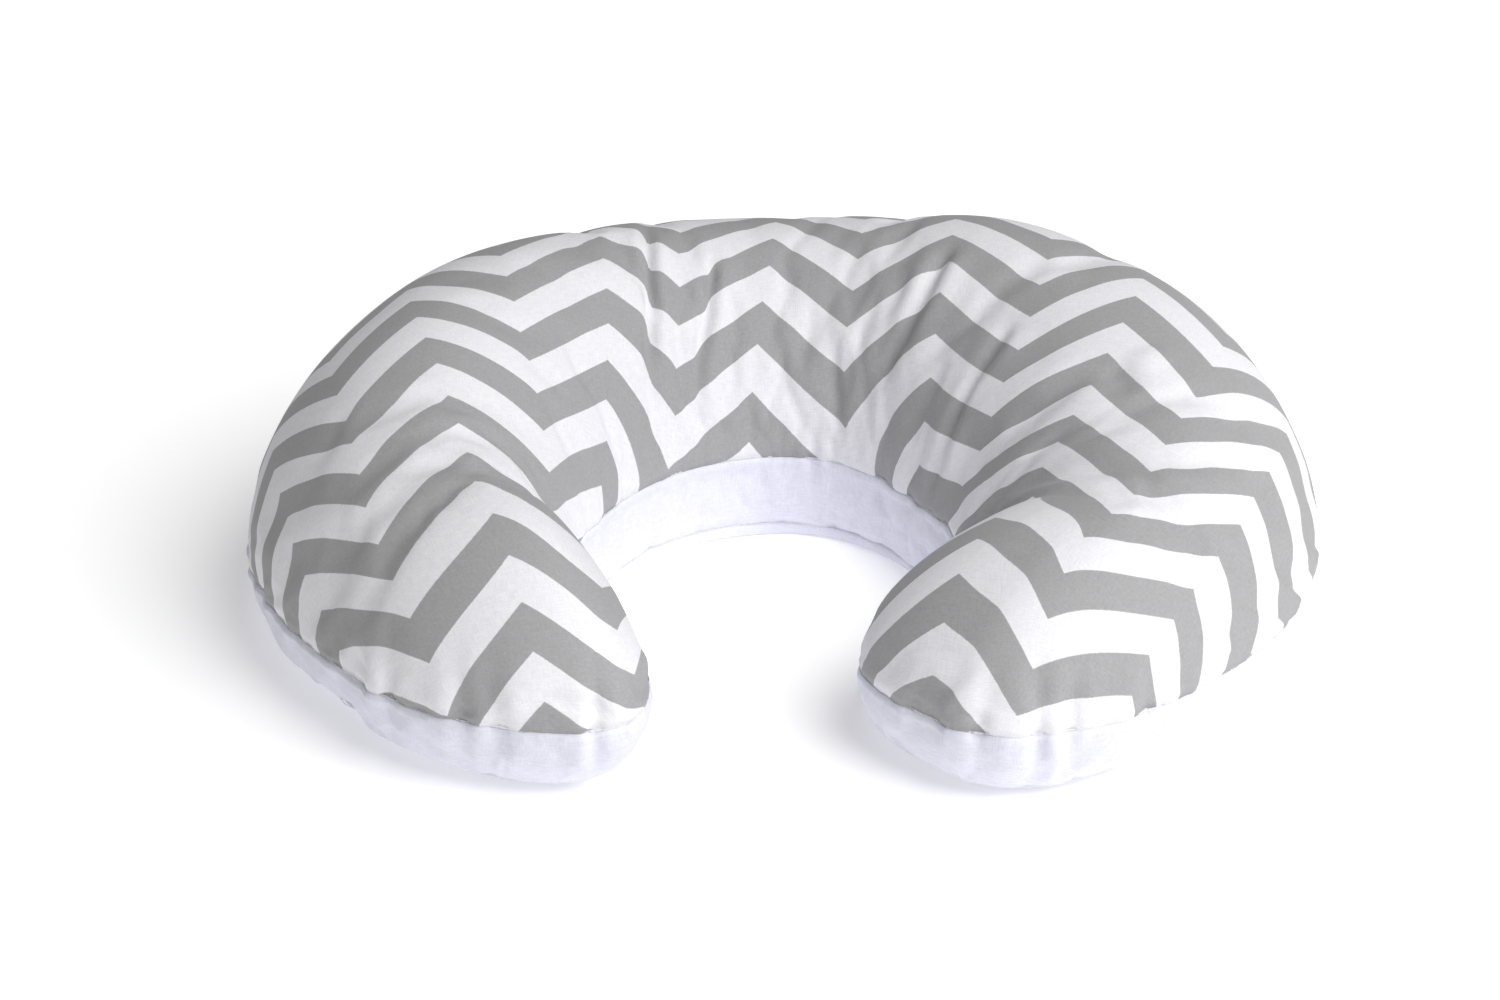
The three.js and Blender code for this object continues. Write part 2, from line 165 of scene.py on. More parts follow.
def spine_point(heading):
    out, _ = directions(heading)
    end = np.sign(heading) * BACK_END
    end_out, _ = directions(end)
    on_arm = (BACK_RADIUS - ARM_RADIUS) * end_out + ARM_RADIUS * out
    return np.where((np.abs(heading) > BACK_END)[..., None], on_arm, BACK_RADIUS * out)


def side_value(name, heading, share):
    right = along_arm(ARMS[1][name], share)
    left = along_arm(ARMS[-1][name], share)
    return np.where(heading < 0, left, right)


def side_number(name, heading):
    return np.where(heading < 0, ARMS[-1][name], ARMS[1][name])


def stations(heading, turn):
    """Upright half sections. Turn is 0 outside the C, pi inside it, and between them round a lobe's tip."""
    heading, turn = np.broadcast_arrays(np.asarray(heading, float), np.asarray(turn, float))
    arm_length = spine_length(side_number("end", heading))
    share = spine_length(heading) / arm_length
    zip_share = spine_length(ZIP_PANEL_END) / arm_length
    past_zip = np.clip((share - zip_share) / (0.5 - zip_share), 0, 1) / 2
    outer = side_value("outer", heading, np.where(share < 0.5, past_zip, share))
    inner = side_value("inner", heading, share)
    crown = side_value("crown", heading, share)
    for middle, half_width, on_crown, on_outer in BULGES:
        bulge = bell(heading - middle, half_width)
        crown = crown + on_crown * bulge
        outer = outer + on_outer * bulge
    is_outer = turn < math.pi / 2
    power = 2 / np.where(is_outer, side_number("round_outer", heading), side_number("round_inner", heading))
    cosine, sine = np.cos(turn), np.maximum(np.sin(turn), 0)
    across = np.where(is_outer, outer, inner) * np.sign(cosine) * np.abs(cosine) ** power
    onward_reach = side_number("lobe", heading) * sine**power
    out, onward = directions(heading)
    reach = out * across[..., None] + onward * onward_reach[..., None]
    width = np.linalg.norm(reach, axis=-1)
    inside = turn / math.pi
    outside_seam = SEAM_AT_ZIP + (SEAM_OUTSIDE - SEAM_AT_ZIP) * smooth(past_zip * 2)
    near_lobe = smooth((share - LOBE_SEAM_FROM) / (1 - LOBE_SEAM_FROM))
    outside_seam = outside_seam + (SEAM_AT_LOBE - outside_seam) * near_lobe
    inside_seam = SEAM_INSIDE + (SEAM_AT_LOBE - SEAM_INSIDE) * near_lobe
    near_tip = np.where(heading < 0, smooth((share - PINCH_FROM) / (1 - PINCH_FROM)), 0)
    pinch = near_tip * bell(turn - PINCH_TURN, PINCH_WIDTH)
    return {
        "power": CROWN_POWER + PINCH_POWER * pinch,
        "lift": PINCH_LIFT * pinch,
        "centre": spine_point(heading),
        "out": reach / width[..., None],
        "width": width,
        "crown": crown,
        "seam": outside_seam + (inside_seam - outside_seam) * inside,
        "tuck": OUTER_TUCK + (INNER_TUCK - OUTER_TUCK) * smooth(2 * inside - 1),
    }


def section(st, level, depth=0.0):
    """Distance from the centre line, and height, at a depth under the surface.

    Level 0 is the crown, 1 the upper seam, 2 the underside's edge and 3 the underside's middle.
    """
    rise = st["crown"] - st["seam"]
    a = np.clip(level, 0, 1) * math.pi / 2
    sine, cosine = np.sin(a), np.maximum(np.cos(a), 1e-9)
    power = st["power"]
    top_r, top_z = st["width"] * sine, st["seam"] + rise * cosine**power
    top_nr, top_nz = rise * power * cosine ** (power - 1) * sine, st["width"] * cosine
    b = np.clip(level - 1, 0, 1) * math.pi / 2
    band_r = st["width"] - st["tuck"] * (1 - np.cos(b))
    band_z = st["seam"] - (st["seam"] - st["lift"]) * np.sin(b)
    band_nr, band_nz = np.cos(b) / st["tuck"], -np.sin(b) / st["seam"]
    from_middle = np.clip(3 - level, 0, 1)
    under_r = (st["width"] - st["tuck"]) * from_middle
    under_z = st["lift"] * from_middle**2
    on_top, on_band = level <= 1, level <= 2
    r = np.where(on_top, top_r, np.where(on_band, band_r, under_r))
    z = np.where(on_top, top_z, np.where(on_band, band_z, under_z))
    nr = np.where(on_top, top_nr, np.where(on_band, band_nr, 0))
    nz = np.where(on_top, top_nz, np.where(on_band, band_nz, -1))
    size = np.hypot(nr, nz)
    return r - nr / size * depth, z - nz / size * depth


def surface(st, level, depth=0.0):
    r, z = section(st, level, depth)
    plan = st["centre"] + st["out"] * r[..., None]
    return np.concatenate([plan, z[..., None]], -1)


def level_at(height):
    """The level of a height on the band, where the zip is."""
    return 1 + math.asin(1 - height / SEAM_AT_ZIP) / (math.pi / 2)


def section_length(st, level):
    """Length of cloth from the crown to a level no lower than the upper seam."""
    points = [np.array(section(st, level * share)) for share in np.linspace(0, 1, LENGTH_STEPS + 1)]
    return sum(np.hypot(*(end - start)) for start, end in zip(points[:-1], points[1:]))


# ---------- The grid of the top and bottom panels ----------
def crowded(t):
    return (1 - SEAM_CROWDING) * t + SEAM_CROWDING * np.sin(t * math.pi / 2)


def panel_grid():
    """Heading, turn and level of each point. Each lobe's square end is bent round into its half disc."""
    across = crowded(np.linspace(1, -1, ROWS + 1))
    left_end, right_end = -ARMS[-1]["end"], ARMS[1]["end"]
    body = np.concatenate(
        [
            np.linspace(left_end, -ZIP_PANEL_END, ARM_COLUMNS + 1)[:-1],
            np.linspace(-ZIP_PANEL_END, ZIP_PANEL_END, ZIP_COLUMNS + 1),
            np.linspace(ZIP_PANEL_END, right_end, ARM_COLUMNS + 1)[1:],
        ]
    )
    tip = crowded(np.arange(1, LOBE_COLUMNS + 1) / LOBE_COLUMNS)
    heading = np.concatenate([np.full(LOBE_COLUMNS, left_end), body, np.full(LOBE_COLUMNS, right_end)])
    onward = np.concatenate([tip[::-1], np.zeros(len(body)), tip])
    c, t = np.meshgrid(across, onward)
    x, y = c * np.sqrt(1 - t**2 / 2), t * np.sqrt(1 - c**2 / 2)
    turn = np.arctan2(y, x)
    # The square's corners lie flat against the rim, and their cells are drawn in so as not to be slivers.
    i, k = np.indices(c.shape)
    steps_in = np.minimum.reduce([i, k, len(heading) - 1 - i, ROWS - k])
    depth = 1 - np.minimum(np.hypot(x, y), 1.0)
    level = 1 - depth - (np.hypot(depth, LEAST_STEP * steps_in) - depth) * (1 - depth) ** 2
    return np.broadcast_to(heading[:, None], c.shape), turn, level


GRID_HEADING, GRID_TURN, GRID_LEVEL = panel_grid()
GRID = stations(GRID_HEADING, GRID_TURN)
COLUMNS = GRID_LEVEL.shape[0]


def rim_indices():
    """Grid indices round the panel: the outer side, the right lobe, the inner side and the left lobe."""
    last_c, last_r = COLUMNS - 1, ROWS
    outer = [(i, 0) for i in range(last_c)]
    right = [(last_c, k) for k in range(last_r)]
    inner = [(i, last_r) for i in range(last_c, 0, -1)]
    left = [(0, k) for k in range(last_r, 0, -1)]
    return np.array(outer + right + inner + left)


RIM = rim_indices()
RIM_HEADING = GRID_HEADING[RIM[:, 0], RIM[:, 1]]
RIM_TURN = GRID_TURN[RIM[:, 0], RIM[:, 1]]
RIM_STATIONS = stations(RIM_HEADING, RIM_TURN)

# The band's rows: the upper zip strip, the zip's window, the lower zip strip, and the roll under the pillow.
WINDOW_TOP = level_at(ZIP_HEIGHT + ZIP_WINDOW)
WINDOW_BOTTOM = level_at(ZIP_HEIGHT - ZIP_WINDOW)
LOWER_SEAM_LEVEL = level_at(LOWER_SEAM)
UPPER_STRIP_ROWS, WINDOW_ROWS, LOWER_STRIP_ROWS, ROLL_ROWS = 3, 2, 8, 3
LOWER_SEAM_ROW = UPPER_STRIP_ROWS + WINDOW_ROWS + LOWER_STRIP_ROWS
BAND_ROWS = LOWER_SEAM_ROW + ROLL_ROWS
BAND_LEVELS = np.concatenate(
    [
        np.linspace(1, WINDOW_TOP, UPPER_STRIP_ROWS + 1),
        np.linspace(WINDOW_TOP, WINDOW_BOTTOM, WINDOW_ROWS + 1)[1:],
        np.linspace(WINDOW_BOTTOM, LOWER_SEAM_LEVEL, LOWER_STRIP_ROWS + 1)[1:],
        np.linspace(LOWER_SEAM_LEVEL, 2, ROLL_ROWS + 1)[1:],
    ]
)


# ---------- The printed cloth ----------
# Where points across the top panel lie on the flat printed cloth, at some headings: the inner edge, half way
# up from it, the crown line, half way down from that, and the outer edge.
# Millimetres: x along the zigzags, y away from the opening of the C.
PANEL_CUT = {
    -128.6: [(-115, -258), (-164, -246), (-199, -238), (-246, -271), (-295, -305)],
    -100: [(-130, -247), (-166, -206), (-215, -179), (-280, -187), (-334, -205)],
    -69: [(-86, -191), (-133, -145), (-184, -85), (-261, -46), (-340, -22)],
    -34: [(-46, -158), (-72, -97), (-107, -23), (-148, 53), (-184, 124)],
    0: [(16, -145), (9, -84), (-2, -7), (-7, 79), (-8, 155)],
    34: [(61, -150), (83, -91), (106, -5), (146, 70), (184, 137)],
    69: [(127, -207), (138, -121), (191, -65), (258, -37), (332, -10)],
    100: [(178, -251), (189, -191), (241, -150), (304, -157), (367, -163)],
    137.5: [(134, -258), (190, -245), (244, -247), (291, -264), (340, -285)],
}
# How the printed cloth bends round each lobe: its x and y for each y^2, x y, y^3 and x y^2 of the distances
# across and onwards from the lobe's middle.
LOBE_BEND = {
    1: [(-5.05, 4.1), (-4.21, -2.41), (28.5, -20.2), (23.6, 11.3)],
    -1: [(2.25, -1.08), (0.67, 0.24), (-24.2, 2.6), (14.4, 11.1)],
}
ZIGZAG_HALF_WIDTH = 0.050
ZIGZAG_DEPTH = 0.0401
STRIPE = 0.0234


def natural_spline(knots, values, at):
    """A natural cubic spline and its slope, for values with any number of trailing axes."""
    gaps = np.diff(knots)
    count = len(knots)
    system, right = np.eye(count), np.zeros((count, count))
    for i in range(1, count - 1):
        before, after = gaps[i - 1], gaps[i]
        system[i, i - 1 : i + 2] = before, 2 * (before + after), after
        right[i, i - 1 : i + 2] = 6 / before, -6 / before - 6 / after, 6 / after
    bends = np.tensordot(np.linalg.solve(system, right), values, 1)
    i = np.clip(np.searchsorted(knots, at) - 1, 0, count - 2)
    shape = at.shape + (1,) * (values.ndim - 1)
    gap = gaps[i].reshape(shape)
    t = (at - knots[i]).reshape(shape)
    rest = gap - t
    value = (values[i] * rest + values[i + 1] * t) / gap
    value += bends[i] * (rest**3 / gap - gap * rest) / 6 + bends[i + 1] * (t**3 / gap - gap * t) / 6
    slope = (values[i + 1] - values[i]) / gap
    slope += bends[i] * (gap - 3 * rest**2 / gap) / 6 + bends[i + 1] * (3 * t**2 / gap - gap) / 6
    return value, slope


def through(places, values, at):
    """The lowest polynomial that takes each value at its place."""
    result = 0
    for i, value in enumerate(values):
        weight = 1.0
        for j, place in enumerate(places):
            if j != i:
                weight = weight * (at - place) / (places[i] - place)
        result = result + value * weight
    return result


def printed_coordinates():
    """The flat cloth's x and y at each point of the top panel's grid."""
    knots = np.array(list(PANEL_CUT)) * DEGREE
    net = np.array(list(PANEL_CUT.values()), float) * MM
    value, slope = natural_spline(knots, net, GRID_HEADING)
    outside = np.zeros_like(GRID_TURN)
    outer_length = section_length(stations(GRID_HEADING, outside), 1.0)[..., None]
    inner_length = section_length(stations(GRID_HEADING, outside + math.pi), 1.0)[..., None]
    places = [-inner_length, -inner_length / 2, 0 * inner_length, outer_length / 2, outer_length]
    length = section_length(GRID, GRID_LEVEL)
    x = (length * np.cos(GRID_TURN))[..., None]
    y = (length * np.sin(GRID_TURN))[..., None]
    y = np.where(np.abs(y) < 1e-9, 0, y)
    side = np.where(GRID_HEADING < 0, -1, 1)[..., None]
    onward = slope[..., 2, :] * side / ARM_RADIUS
    bend = np.where(side[..., None] < 0, np.array(LOBE_BEND[-1]), np.array(LOBE_BEND[1]))
    flat = through(places, [value[..., i, :] for i in range(len(places))], x)
    flat = flat + y * onward + y**2 * bend[..., 0, :] + x * y * bend[..., 1, :]
    return flat + y**3 * bend[..., 2, :] + x * y**2 * bend[..., 3, :]


# ---------- Meshes ----------
def link(obj):
    bpy.context.scene.collection.objects.link(obj)
    return obj


def new_mesh(name, vertices, faces, attributes=None):
    mesh = bpy.data.meshes.new(name)
    corners = [tuple(int(i) for i in face) for face in faces]
    mesh.from_pydata([tuple(v) for v in np.asarray(vertices)], [], corners)
    for key, values in (attributes or {}).items():
        values = np.asarray(values, np.float32)
        kind = "FLOAT" if values.ndim == 1 else "FLOAT_VECTOR"
        layer = mesh.attributes.new(key, kind, "POINT")
        layer.data.foreach_set("value" if values.ndim == 1 else "vector", values.ravel())
    mesh.update()
    return link(bpy.data.objects.new(name, mesh))


def read_vectors(obj, what):
    out = np.zeros(len(obj.data.vertices) * 3, np.float32)
    obj.data.vertices.foreach_get(what, out)
    return out.reshape(-1, 3).astype(float)


def read_points(obj):
    return read_vectors(obj, "co")


def read_normals(obj):
    return read_vectors(obj, "normal")


def write_points(obj, points):
    obj.data.vertices.foreach_set("co", np.asarray(points, np.float32).ravel())
    obj.data.update()


def read_attribute(obj, key, width=1):
    layer = obj.data.attributes[key]
    out = np.zeros(len(obj.data.vertices) * width, np.float32)
    layer.data.foreach_get("value" if width == 1 else "vector", out)
    return out.astype(float) if width == 1 else out.reshape(-1, width).astype(float)


def apply_modifiers(obj):
    graph = bpy.context.evaluated_depsgraph_get()
    graph.update()
    mesh = bpy.data.meshes.new_from_object(obj.evaluated_get(graph), depsgraph=graph)
    obj.modifiers.clear()
    obj.data = mesh


def shade_smooth(obj):
    obj.data.polygons.foreach_set("use_smooth", [True] * len(obj.data.polygons))
    obj.data.update()


def grid_faces(columns, rows, index):
    return [
        (index(i, k), index(i + 1, k), index(i + 1, k + 1), index(i, k + 1))
        for i in range(columns - 1)
        for k in range(rows - 1)
    ]


# ---------- The whole cover as one closed mesh ----------
GRID_POINTS = COLUMNS * (ROWS + 1)
RIM_COUNT = len(RIM)
PANELS = ["top", "band", "bottom", "zip_upper", "zip_lower", "window"]


def top_index(i, k):
    return i * (ROWS + 1) + k


RIM_TOP = np.array([top_index(i, k) for i, k in RIM])


def band_index(row, r):
    """Row 0 is the top panel's rim, and the last row the bottom panel's rim."""
    if row == 0:
        return int(RIM_TOP[r % RIM_COUNT])
    if row == BAND_ROWS:
        return GRID_POINTS + int(RIM_TOP[r % RIM_COUNT])
    return 2 * GRID_POINTS + (row - 1) * RIM_COUNT + r % RIM_COUNT


def stack(on_top, on_bottom, on_band):
    """Values in the order of the cover's vertices. on_band is a function of the level."""
    width = on_top.shape[2:]
    rows = [on_band(level) for level in BAND_LEVELS[1:-1]]
    return np.concatenate([on_top.reshape(-1, *width), on_bottom.reshape(-1, *width), *rows])


def cover_faces():
    """The cover's faces, and each one's panel."""
    grid = grid_faces(COLUMNS, ROWS + 1, top_index)
    faces = [tuple(reversed(f)) for f in grid] + [tuple(GRID_POINTS + v for v in f) for f in grid]
    panels = [PANELS.index("top")] * len(grid) + [PANELS.index("bottom")] * len(grid)
    at_zip = (np.abs(RIM_HEADING) < ZIP_PANEL_END - 1e-6) & (RIM_TURN < 1e-6)
    for row in range(BAND_ROWS):
        for r in range(RIM_COUNT):
            upper = band_index(row, r), band_index(row, r + 1)
            lower = band_index(row + 1, r + 1), band_index(row + 1, r)
            faces.append(upper + lower)
            panels.append(PANELS.index(band_panel(row, at_zip[r] or at_zip[(r + 1) % RIM_COUNT])))
    return faces, panels


def band_panel(row, at_zip):
    if row >= LOWER_SEAM_ROW:
        return "bottom"
    if not at_zip:
        return "band"
    if row < UPPER_STRIP_ROWS:
        return "zip_upper"
    return "window" if row < UPPER_STRIP_ROWS + WINDOW_ROWS else "zip_lower"


def band_drops():
    """The band's length of cloth from the upper seam down to each of its levels, all round the rim."""
    drops = [np.zeros(RIM_COUNT)]
    for above, below in zip(BAND_LEVELS[:-1], BAND_LEVELS[1:]):
        ends = [surface(RIM_STATIONS, np.full(RIM_COUNT, level)) for level in (above, below)]
        drops.append(drops[-1] + np.linalg.norm(ends[1] - ends[0], axis=-1))
    return dict(zip(BAND_LEVELS.tolist(), drops))


def build_cover():
    """The cover over the stuffed form. Its attributes are for its folds, its seams and its materials."""
    top, bottom = surface(GRID, GRID_LEVEL), surface(GRID, 3 - GRID_LEVEL)
    points = stack(top, bottom, lambda level: surface(RIM_STATIONS, level))
    faces, panels = cover_faces()
    at_seam = np.ones_like(GRID_LEVEL)
    grid_foot = surface(GRID, at_seam)
    rim_foot = surface(RIM_STATIONS, np.ones(RIM_COUNT))
    above_seam = section_length(GRID, at_seam) - section_length(GRID, GRID_LEVEL)
    drop = band_drops()
    to_lower_seam = drop[LOWER_SEAM_LEVEL]
    inwards = np.linalg.norm(bottom - surface(GRID, 2 * at_seam), axis=-1)
    under = drop[BAND_LEVELS[-1]][0] + inwards
    flat_cloth = printed_coordinates()
    flat = np.concatenate([flat_cloth, np.zeros((*flat_cloth.shape[:2], 1))], -1)
    attributes = {
        # Where a point lies on the flat printed cloth and on the form, and where the seam below it is.
        "print": stack(flat, flat * 0, lambda level: np.zeros((RIM_COUNT, 3))),
        "rest": points,
        "foot": stack(grid_foot, grid_foot, lambda level: rim_foot),
        # Lengths of cloth down from the upper seam, negative on the top panel, and down from the lower seam.
        "fall": stack(-above_seam, under, lambda level: drop[level]),
        "drop_to_lower": stack(-at_seam, under - to_lower_seam[0], lambda level: drop[level] - to_lower_seam),
        "zip_hold": zip_hold(),
    }
    obj = new_mesh("cover_form", points, faces, attributes)
    obj.data.polygons.foreach_set("material_index", panels)
    return obj


# ---------- Looks ----------
class Finish:
    """A node material built by plain calls: each returns an output socket, and numbers or sockets go in."""

    def __init__(self, name, roughness=0.9, metallic=0.0, **sockets):
        self.material = bpy.data.materials.new(name)
        self.material.use_nodes = True
        self.tree = self.material.node_tree
        self.shader = self.tree.nodes["Principled BSDF"]
        self.shader.inputs["Roughness"].default_value = roughness
        self.shader.inputs["Metallic"].default_value = metallic
        for key, value in sockets.items():
            self.shader.inputs[key.replace("_", " ")].default_value = value

    def node(self, kind, inputs=(), output=0, **settings):
        node = self.tree.nodes.new(kind)
        for key, value in settings.items():
            setattr(node, key, value)
        for key, value in dict(inputs).items():
            if isinstance(value, bpy.types.NodeSocket):
                self.tree.links.new(value, node.inputs[key])
            elif value is not None:
                node.inputs[key].default_value = value
        return node.outputs[output]

    def math(self, operation, a, b=None, c=None):
        return self.node("ShaderNodeMath", {0: a, 1: b, 2: c}, operation=operation)

    def attribute(self, name):
        return self.node("ShaderNodeAttribute", output="Vector", attribute_name=name)

    def position(self):
        return self.node("ShaderNodeTexCoord", output="Object")

    def stretched(self, vector, scale):
        return self.node("ShaderNodeVectorMath", {0: vector, 1: scale}, operation="MULTIPLY")

    def noise(self, vector, size, detail=2.0, roughness=0.5):
        inputs = {"Vector": vector, "Scale": 1 / size, "Detail": detail, "Roughness": roughness}
        return self.node("ShaderNodeTexNoise", inputs)

    def ramp(self, value, low, high, to_low=0.0, to_high=1.0):
        inputs = {"Value": value, "From Min": low, "From Max": high, "To Min": to_low, "To Max": to_high}
        return self.node("ShaderNodeMapRange", inputs)

    def mix(self, share, a, b):
        inputs = {"Factor": share, 6: a, 7: b}
        return self.node("ShaderNodeMix", inputs, output=2, data_type="RGBA")

    def shade(self, colour, value):
        """The colour times a value near 1."""
        return self.node("ShaderNodeVectorMath", {0: colour, "Scale": value}, operation="SCALE")

    def colour(self, value):
        self.plug("Base Color", value)

    def plug(self, name, value):
        if isinstance(value, bpy.types.NodeSocket):
            self.tree.links.new(value, self.shader.inputs[name])
        else:
            self.shader.inputs[name].default_value = value

    def bump(self, height, distance, strength):
        inputs = {"Height": height, "Distance": distance, "Strength": strength}
        self.plug("Normal", self.node("ShaderNodeBump", inputs))


THREAD_PITCH = 0.0006  # between neighbouring yarns of the woven cotton
SLUB_LENGTH = 9.0  # how much longer than wide a yarn's uneven patches are
WEAVE_DEPTH = 0.00012
WEAR_SIZE = 0.006
WEAR_SHARE = 0.4  # of the weave's relief
COTTON_SHEEN = {"Sheen_Weight": 0.12, "Sheen_Roughness": 0.5}
COTTON_ROUGHNESS = 0.88
WHITE = (0.868, 0.860, 0.895, 1)
PRINT_GREY = (0.385, 0.380, 0.388)
BAND_WHITE = (0.812, 0.812, 0.915)
# Nearly all the values of a noise lie between these.
NOISE_LOW, NOISE_HIGH = 0.3, 0.7
# How dark and how light the cloth, the ink and other surfaces are at the ends of their noise.
WOVEN_SHADES = 0.93, 1.05
INK_SHADES = 0.93, 1.07
GRAIN_SHADES = 0.94, 1.04
GRAIN_ROUGHNESS = 0.06
# A printed stripe's edge: the size and depth of its unevenness, and its softness as a share of the stripe.
EDGE_GRAIN = 0.0011
EDGE_RAGGED = 0.0006
EDGE_SOFT = 0.012
INK_GRAIN = 0.0016


def woven(finish, coordinates, warp, weft, depth=WEAVE_DEPTH):
    """Two sets of uneven yarns crossing. Returns a brightness near 1, and sets the weave's bump."""
    lengthways = finish.noise(finish.stretched(coordinates, warp), THREAD_PITCH, detail=1.0)
    crossways = finish.noise(finish.stretched(coordinates, weft), THREAD_PITCH, detail=1.0)
    height = finish.math("ADD", lengthways, crossways)
    wear = finish.noise(coordinates, WEAR_SIZE, detail=4.0, roughness=0.7)
    soft = finish.ramp(wear, NOISE_LOW, NOISE_HIGH, -WEAR_SHARE, WEAR_SHARE)
    finish.bump(finish.math("ADD", height, soft), depth, 0.8)
    return finish.ramp(height, 0.7, 1.3, *WOVEN_SHADES)


ALONG_X = (1.0, 1 / SLUB_LENGTH, 1.0)
ALONG_Y = (1 / SLUB_LENGTH, 1.0, 1.0)
UPRIGHT = (1.0, 1.0, 1 / SLUB_LENGTH)
LEVEL = (1 / SLUB_LENGTH, 1 / SLUB_LENGTH, 1.0)


def printed_cotton():
    """White cotton with a grey zigzag, drawn on the flat cloth."""
    finish = Finish("printed_cotton", COTTON_ROUGHNESS, **COTTON_SHEEN)
    flat = finish.attribute("print")
    parts = finish.tree.nodes.new("ShaderNodeSeparateXYZ")
    finish.tree.links.new(flat, parts.inputs[0])
    x, y = parts.outputs[0], parts.outputs[1]
    half_periods = finish.math("DIVIDE", x, ZIGZAG_HALF_WIDTH)
    zigzag = finish.math("PINGPONG", half_periods, 1.0)
    down = finish.math("MULTIPLY_ADD", zigzag, -ZIGZAG_DEPTH, finish.math("MULTIPLY", y, -1.0))
    ragged = finish.math("MULTIPLY_ADD", finish.noise(flat, EDGE_GRAIN), EDGE_RAGGED, down)
    stripes = finish.math("DIVIDE", ragged, STRIPE)
    # 0 at an edge, up to a half in the middle of a white stripe, and down to minus a half in a grey one.
    inside = finish.math("SUBTRACT", finish.math("PINGPONG", finish.math("ADD", stripes, 0.5), 1.0), 0.5)
    grey = finish.ramp(inside, EDGE_SOFT, -EDGE_SOFT)
    brightness = woven(finish, flat, ALONG_X, ALONG_Y)
    speck = finish.noise(flat, INK_GRAIN, detail=3.0, roughness=0.7)
    inked = finish.shade(PRINT_GREY, finish.ramp(speck, NOISE_LOW, NOISE_HIGH, *INK_SHADES))
    finish.colour(finish.shade(finish.mix(grey, WHITE, inked), brightness))
    return finish.material


def woven_cloth(name, roughness, colour, warp, weft, depth=WEAVE_DEPTH, **sockets):
    """Cloth of one colour, woven along its rest coordinates."""
    finish = Finish(name, roughness, **sockets)
    brightness = woven(finish, finish.attribute("rest"), warp, weft, depth)
    finish.colour(finish.shade(colour, brightness))
    return finish.material


def plain(name, colour, grain, roughness, depth=0.00005, metallic=0.0):
    """A surface with a fine grain of a real size, in its colour, its roughness and its relief."""
    finish = Finish(name, roughness, metallic)
    speck = finish.noise(finish.position(), grain, detail=3.0, roughness=0.6)
    finish.colour(finish.shade(colour, finish.ramp(speck, NOISE_LOW, NOISE_HIGH, *GRAIN_SHADES)))
    smoothest, roughest = roughness - GRAIN_ROUGHNESS, roughness + GRAIN_ROUGHNESS
    finish.plug("Roughness", finish.ramp(speck, NOISE_LOW, NOISE_HIGH, smoothest, roughest))
    finish.bump(speck, depth, 0.6)
    return finish.material


PRINTED = printed_cotton()
BAND_COTTON = woven_cloth("band_cotton", COTTON_ROUGHNESS, BAND_WHITE, UPRIGHT, LEVEL, **COTTON_SHEEN)
UNDER_COTTON = woven_cloth("under_cotton", COTTON_ROUGHNESS, BAND_WHITE, ALONG_X, ALONG_Y, **COTTON_SHEEN)
TAPE = woven_cloth("tape_weave", 0.85, (0.80, 0.80, 0.84), ALONG_X, ALONG_Y, 0.00015)
SATIN = woven_cloth("satin_ribbon", 0.38, (0.88, 0.88, 0.89), ALONG_X, ALONG_Y, 0.00004, Sheen_Weight=0.3)
THREAD = plain("sewing_thread", (0.86, 0.86, 0.88), 0.0003, 0.7)
NYLON = plain("zip_nylon", (0.84, 0.84, 0.86), 0.0006, 0.4)
NICKEL = plain("nickel_plate", (0.66, 0.66, 0.68), 0.0007, 0.28, depth=0.00002, metallic=1.0)
FIBRE = plain("polyester_fibre", (0.92, 0.92, 0.92), 0.003, 0.95, depth=0.0006)
CASING = plain("casing_cloth", (0.86, 0.86, 0.83), 0.0012, 0.92)


# ---------- Panels ----------
def cut_out(name, source, panels, depth=0.0):
    """Some panels of a cover mesh as a mesh of their own, sunk by a depth, with what their materials read."""
    points = read_points(source) - read_normals(source) * depth
    wanted = {PANELS.index(panel) for panel in panels}
    faces = np.array([p.vertices[:] for p in source.data.polygons if p.material_index in wanted])
    used = np.unique(faces)
    renumber = np.full(len(points), -1)
    renumber[used] = np.arange(len(used))
    attributes = {key: read_attribute(source, key, 3)[used] for key in ("print", "rest")}
    return new_mesh(name, points[used], renumber[faces], attributes)


def place(obj, material, slot, node):
    """Moves a mesh to the part's frame, and makes it a piece in place of one of the frame's nodes."""
    write_points(obj, read_points(obj) + PILLOW_ORIGIN)
    obj.data.materials.append(material)
    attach(obj, "root")
    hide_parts(node)


def add_sheet(obj, thickness, material, slot, node, flat, held="stretched", rests_on="inner_filling"):
    """Thickens a sheet inwards and places it. Its flat size, the area of one face, is not used."""
    solid = obj.modifiers.new("thickness", "SOLIDIFY")
    solid.thickness = thickness
    solid.offset = -1
    apply_modifiers(obj)
    shade_smooth(obj)
    place(obj, material, slot, node)


# ---------- Camera, light and floor ----------
LENS = 85.0
SENSOR_WIDTH = 36.0
CAMERA_DISTANCE = 1.8494
CAMERA_ELEVATION = 25.45 * DEGREE
CAMERA_AZIMUTH = -4.05 * DEGREE
CAMERA_ROLL = 0.5 * DEGREE
CAMERA_TARGET = (0.0, 0.0383, 0.060)
CAMERA_SHIFT = (-0.0248, -0.0046)

SKY_STRENGTH = 0.145
KEY_POSITION = (1.15, -1.15, 2.0)
KEY_TARGET = (0.0, 0.0, 0.05)
KEY_SIZE = 2.2
KEY_POWER = 64
# The floor glows a little, more so away from the pillow, so that it is plain white all round.
GLOW_NEAR, GLOW_FAR = 0.26, 0.75
GLOW_FROM, GLOW_TO = 0.20, 0.90
FLOOR_REACH = 6.0


